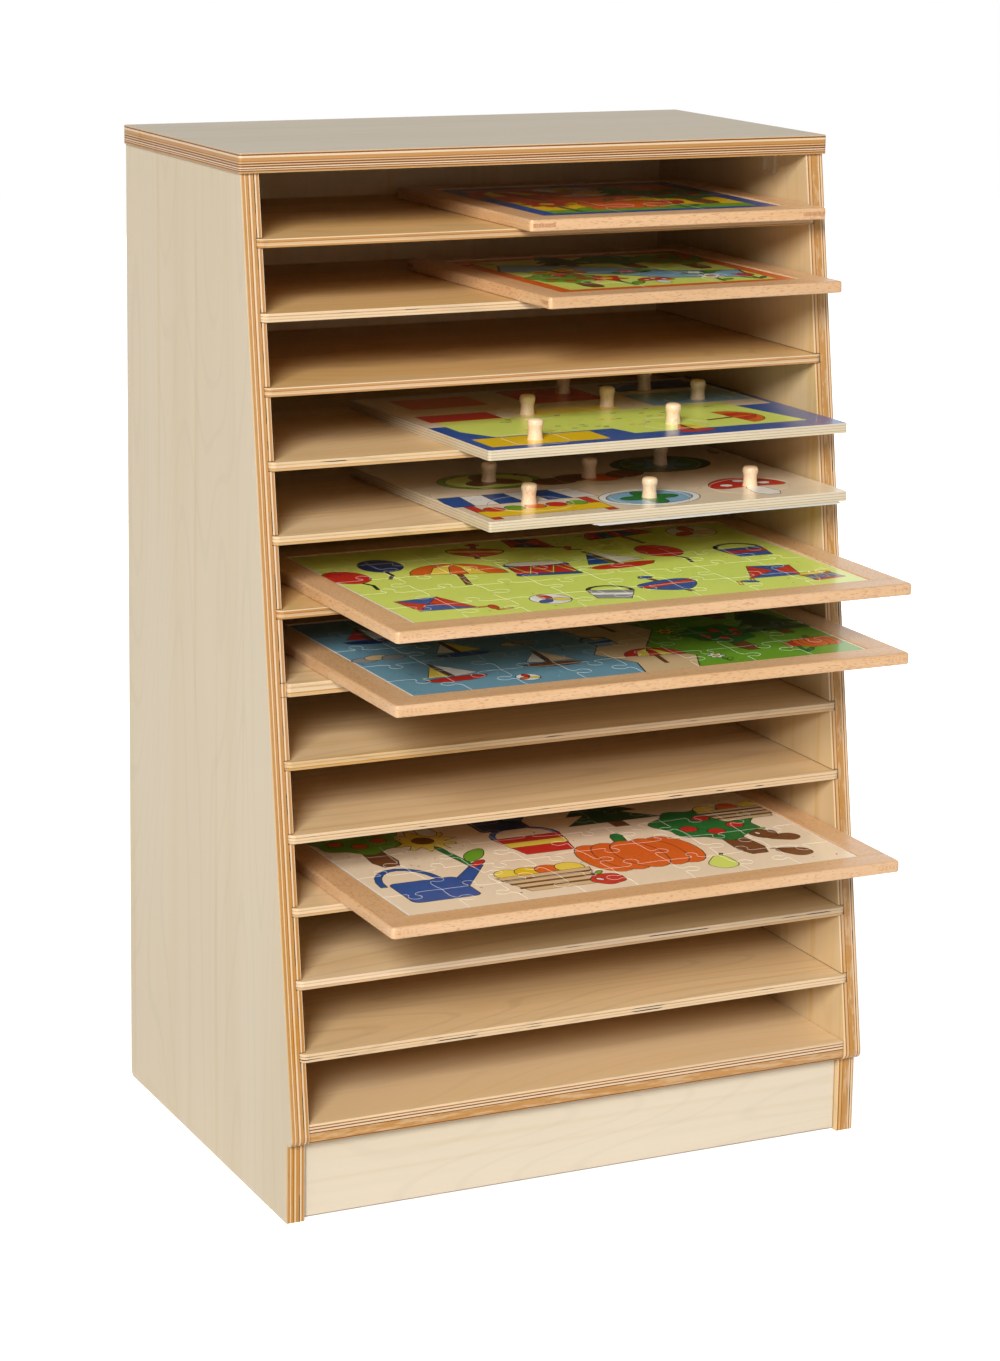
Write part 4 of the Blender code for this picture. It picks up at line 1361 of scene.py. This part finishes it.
def block_board(width, depth):
    """Building blocks on a blue and natural ground."""
    def patch(left, front, right, back):
        return oblong(left * width, front * depth, right * width, back * depth)

    lime = [(0.05, 0.32), (0.10, 0.20), (0.42, 0.20), (0.44, 0.10), (0.93, 0.10), (0.86, 0.50), (0.05, 0.50)]
    layers = [
        (patch(0.004, 0.42, 0.98, 0.994), NATURAL), (patch(0.68, 0.52, 0.97, 0.74), SKY),
        ([(x * width, y * depth) for x, y in lime], LIME),
        (patch(0.03, 0.05, 0.35, 0.19), YELLOW), (patch(0.04, 0.50, 0.24, 0.62), RED),
        (patch(0.30, 0.50, 0.58, 0.60), SUNNY), (patch(0.08, 0.74, 0.30, 0.92), ORANGE),
        (patch(0.40, 0.70, 0.62, 0.96), RED), (patch(0.70, 0.80, 0.95, 0.95), BLUE),
    ]
    rng = random.Random(8)
    for _ in range(46):
        x = rng.uniform(0.12, 0.84) * width
        y = rng.uniform(0.22, 0.48) * depth
        layers.append((oblong(x, y, x + 6, y + 2.2), rng.choice((NAVY, ORANGE, YELLOW, LEAF))))
    return layers + plan(
        width, depth, (sunshade(ORANGE, RED), 0.70, 0.22, 62, -80),
        (boat(RED, YELLOW, ORANGE), 0.60, 0.05, 44, 0),
    )


def play_board(width, depth):
    """One motif at each inlay of a natural board, with its size and how far it starts below the knob."""
    motifs = (
        (stall(), 128, 56), (clover(WHITE, SKY, LEAF, 4), 100, 38), (toadstool(RED), 86, 44),
        (clover(GRASS, LIME, BROWN, 3), 104, 40), (stones(BROWN, BROWN, ORANGE, BROWN), 92, 24),
        (clover(DEEP_GREEN, LEAF, WATER, 6), 104, 40),
    )
    layers = []
    for (motif, size, drop), ((across, back), _) in zip(motifs, BOARD_5[1]):
        layers += put(motif, across * width, back * depth - drop, size)
    return layers


def beech_paint(turned, end, tone):
    return (float(turned), float(end), tone, 1.0)


def frame_piece(tray, number, material, through_sides):
    """Beech frame with eased edges and a rebate below for the backing board.

    Either its sides run through to the corners, or its front and back rails do.
    """
    node = tray.body + "_frame"
    picture_low, _ = tray.box(tray.body + "_picture")
    board_low, board_high = tray.box(tray.body + "_backing")
    width, depth, height = tray.width, tray.depth, tray.height
    rail = picture_low.x - FRAME_ROOM
    rng = random.Random(number)
    tones = [rng.uniform(*RAIL_TONES) for _ in range(4)]
    front, back = (0.0, depth) if through_sides else (rail, depth - rail)
    sides = ((0.0, rail), (width - rail, width))
    layers = []
    for tone, (left, right) in zip(tones, sides):
        layers.append((oblong(left, front, right, back), beech_paint(1, 0, tone)[:3]))
    for left, right in sides:
        for start, end in ((0.0, rail), (depth - rail, depth)):
            line = [(left, start or end), (right, start or end)]
            if through_sides:
                line = [(left or right, start), (left or right, end)]
            layers.append((strip(line, JOINT_LINE), beech_paint(0, LINE_SHOWS, tones[0])[:3]))
    joint = (height * JOINT_LOW, height * JOINT_HIGH)

    def wall(spot):
        from_side = min(spot.x, width - spot.x)
        from_end = min(spot.y, depth - spot.y)
        inner = joint[0] < spot.z < joint[1]
        # Outer sides: tone lowered as painted shade
        if from_side < WALL_ZONE:
            shows = through_sides and inner and JOINT_START < from_end < SIDE_REACH
            return beech_paint(1, END_SHOWS * shows, tones[1] - SIDE_PAINTED_SHADE)
        # Front and back faces: tone lowered as painted shade
        if from_end < WALL_ZONE:
            tooth = END_SHOWS if number == 1 else FINGER_SHOWS * (int(from_side / TOOTH) % 2)
            shows = not through_sides and inner and from_side < FRONT_REACH
            return beech_paint(0, tooth * shows, tones[2] - FRONT_PAINTED_SHADE)
        return beech_paint(from_side < rail + 1.0, 0, tones[3])

    edge = FRAME_EDGE
    teeth = [JOINT_START + TOOTH * step for step in range(TEETH)]
    spots = [(x, y) for near in teeth for x in (near, width - near) for y in (edge, depth - edge)]
    reach = (JOINT_START, SIDE_REACH)
    spots += [(x, y) for near in reach for y in (near, depth - near) for x in (edge, width - edge)]
    outline = studded(inset(width, depth, edge, FRAME_CORNER - edge), spots)
    rings = eased(height, 0.0, edge, FRAME_FOOT_EDGE)
    rings[5:5] = [(edge, joint[1]), (edge, joint[0])]
    rebate = OPENING_EDGE - (rail - board_low.x) - FRAME_ROOM
    hole_rings = eased(height, board_high.z, OPENING_EDGE)
    hole_rings += [(rebate, board_high.z), (rebate, 0.0)]
    holes = [inset(width, depth, rail - OPENING_EDGE)]
    ground = beech_paint(0, 0, tones[2])
    mesh = plate(node + "_rails", outline, rings, ground, layers, holes, hole_rings, wall=wall)
    tray.add(mesh, material, "beech", node)


def framed_puzzle(number, draw, columns, rows, wood, material, through_sides=False):
    body = f"puzzle_{number:02d}"
    tray = Tray(body, body + "_frame")
    frame_piece(tray, number, wood, through_sides)
    dress(body + "_backing", fine_plywood(body + "_backing_plywood", *span(body + "_backing", "Z")))
    node = body + "_picture"
    low, high = tray.box(node)
    shift = low.xy
    width, depth = high.x - low.x, high.y - low.y
    layers = [([shift + Vector(spot) for spot in shape], colour) for shape, colour in draw(width, depth)]
    cuts = [[shift + spot for spot in line] for line in jigsaw(width, depth, columns, rows, number)]
    edge = PIECE_EDGE
    outline = oblong(low.x + edge, low.y + edge, high.x - edge, high.y - edge, PIECE_CORNER)
    rings = eased(high.z, low.z, edge)
    # The pieces' edges in edge white: the paper's white edge and a painted highlight
    look = {"cuts": cuts, "wall": lambda spot: EDGE_WHITE_AND_HIGHLIGHT, "smooth": 30}
    mesh = plate(node + "_pieces", outline, rings, (*WHITE, 1.0), layers, **look)
    tray.add(mesh, material, f"print_{number:02d}", node)


def knob_puzzle(number, ground, draw, radius, pieces, knob, knob_wood):
    """Board with cut-outs, its inlay pieces and their knobs, under one print.

    Pieces are given by their places, as shares of the board, and their waves.
    """
    body = f"knob_puzzle_{number:02d}"
    tray = Tray(body, body + "_backing")
    width, depth = tray.width, tray.depth
    layers = draw(width, depth)
    low, high = tray.box(body + "_face")
    span_z = (tray.to_frame.translation.z, (tray.to_frame @ high).z)
    material = printed_board(f"board_{number:02d}_print", *span_z, tray.turn)
    dress(body + "_backing", fine_plywood(f"board_{number:02d}_edge", *span_z, tray.turn))
    places = [(across * width, back * depth) for (across, back), _ in pieces]
    outlines = [wave(x, y, radius, waves, 120) for (x, y), (_, waves) in zip(places, pieces)]
    edge = BOARD_EDGE
    holes = [swell(outline, CUT_OUT_ROOM + edge) for outline in outlines]
    rings = eased(high.z, low.z - BOARD_OVERLAP, edge, steps=3)
    outline = inset(width, depth, edge, BOARD_CORNER - edge)
    mesh = plate(body + "_printed_face", outline, rings, ground, layers, holes)
    tray.add(mesh, material, f"board_{number:02d}", body + "_face")
    rings = eased(high.z, low.z, edge, steps=3)
    for index, (place, outline) in enumerate(zip(places, outlines)):
        piece = f"knob_piece_{number:02d}_{index + 1}"
        mesh = plate(piece + "_inlay", swell(outline, -edge), rings, ground, layers)
        tray.add(mesh, material, "knob_inlay", piece, body=piece)
        _, crown = tray.box(piece)
        mesh = knob.mesh(
            piece + "_knob", Place=tray.to_frame @ Vector((*place, high.z)), Height=(crown.z - high.z) * MM,
            Radius=KNOB_HEAD, Rings=KNOB_RINGS, Sides=KNOB_SIDES, Material=knob_wood,
        )
        add_piece(mesh, knob_wood, piece, "knob_inlay")


def leaflet():
    """Two loose sheets of card, one a little askew on the other."""
    tray = Tray("knob_puzzle_05", "leaflet")
    card = paper("leaflet_card")
    middle = Vector((tray.width / 2, tray.depth / 2))
    reach = middle - Vector(LEAFLET_ROOM)
    for name, turn, low, nodes in (("lower", 1.1, 0.0, ["leaflet"]), ("upper", -0.5, tray.height / 2, [])):
        spin = Matrix.Rotation(math.radians(turn), 2)
        corners = [middle + spin @ corner for corner in oblong(-reach.x, -reach.y, reach.x, reach.y)]
        rings = eased(low + tray.height * LEAFLET_SHEET, low, LEAFLET_EDGE, steps=1)
        tray.add(plate(f"leaflet_{name}_sheet", corners, rings), card, "card", *nodes)


def puzzles():
    wood = beech("beech_rail")
    picture = printed_picture("picture_print")
    framed_puzzle(1, sunny_hills, 3, 2, wood, picture)
    framed_puzzle(2, pond_garden, 3, 2, wood, picture, True)
    framed_puzzle(6, toy_meadow, 8, 5, wood, picture)
    framed_puzzle(7, lake_side, 8, 5, wood, picture)
    framed_puzzle(10, harvest, 8, 5, wood, picture)
    knob = turned_knob()
    knob_wood = turned_wood("knob_wood")
    knob_puzzle(4, (*BLUE, 1.0), block_board, *BOARD_4, knob, knob_wood)
    knob_puzzle(5, BARE, play_board, *BOARD_5, knob, knob_wood)
    leaflet()


def stage():
    """Floor, world and lamps."""
    half = FLOOR_SIZE / 2
    mesh = bpy.data.meshes.new("floor")
    mesh.from_pydata([(x, y, 0) for x, y in oblong(-half, -half, half, half)], [], [(0, 1, 2, 3)])
    mesh.materials.append(pale_floor("pale_floor"))
    floor = bpy.data.objects.new("floor", mesh)
    bpy.context.scene.collection.objects.link(floor)
    world = bpy.data.worlds.new("studio")
    world.use_nodes = True
    bpy.context.scene.world = world
    sky = Shading(world.node_tree)
    background = world.node_tree.nodes["Background"].inputs
    sky.give(background["Color"], (1.0, 1.0, 1.0))
    sky.give(background["Strength"], sky.between(sky.seen(), SKY_LIGHT, 1.0))
    low, high = CAD_BOX
    for name, values in LAMPS.items():
        lamp(name, (low + high) / 2, *values)


def lamp(name, target, azimuth, elevation, distance, size, power):
    light = bpy.data.lights.new(name, "AREA")
    light.shape = "SQUARE"
    light.size = size
    light.energy = power
    a, e = math.radians(azimuth), math.radians(elevation)
    away = Vector((math.sin(a) * math.cos(e), -math.cos(a) * math.cos(e), math.sin(e)))
    lamp_object = bpy.data.objects.new(name, light)
    lamp_object.location = target + away * distance
    lamp_object.rotation_euler = (-away).to_track_quat("-Z", "Y").to_euler()
    bpy.context.scene.collection.objects.link(lamp_object)


def camera():
    lens = bpy.data.cameras.new("camera")
    lens.lens = CAMERA_LENS
    lens.sensor_width = CAMERA_SENSOR
    lens.shift_x, lens.shift_y = CAMERA_SHIFT
    view = bpy.data.objects.new("camera", lens)
    view.location = CAMERA_PLACE
    view.rotation_euler = [math.radians(angle) for angle in CAMERA_TURN]
    bpy.context.scene.collection.objects.link(view)
    bpy.context.scene.camera = view
    bpy.context.scene.view_settings.view_transform = "Standard"


camera()
stage()
cabinet()
puzzles()
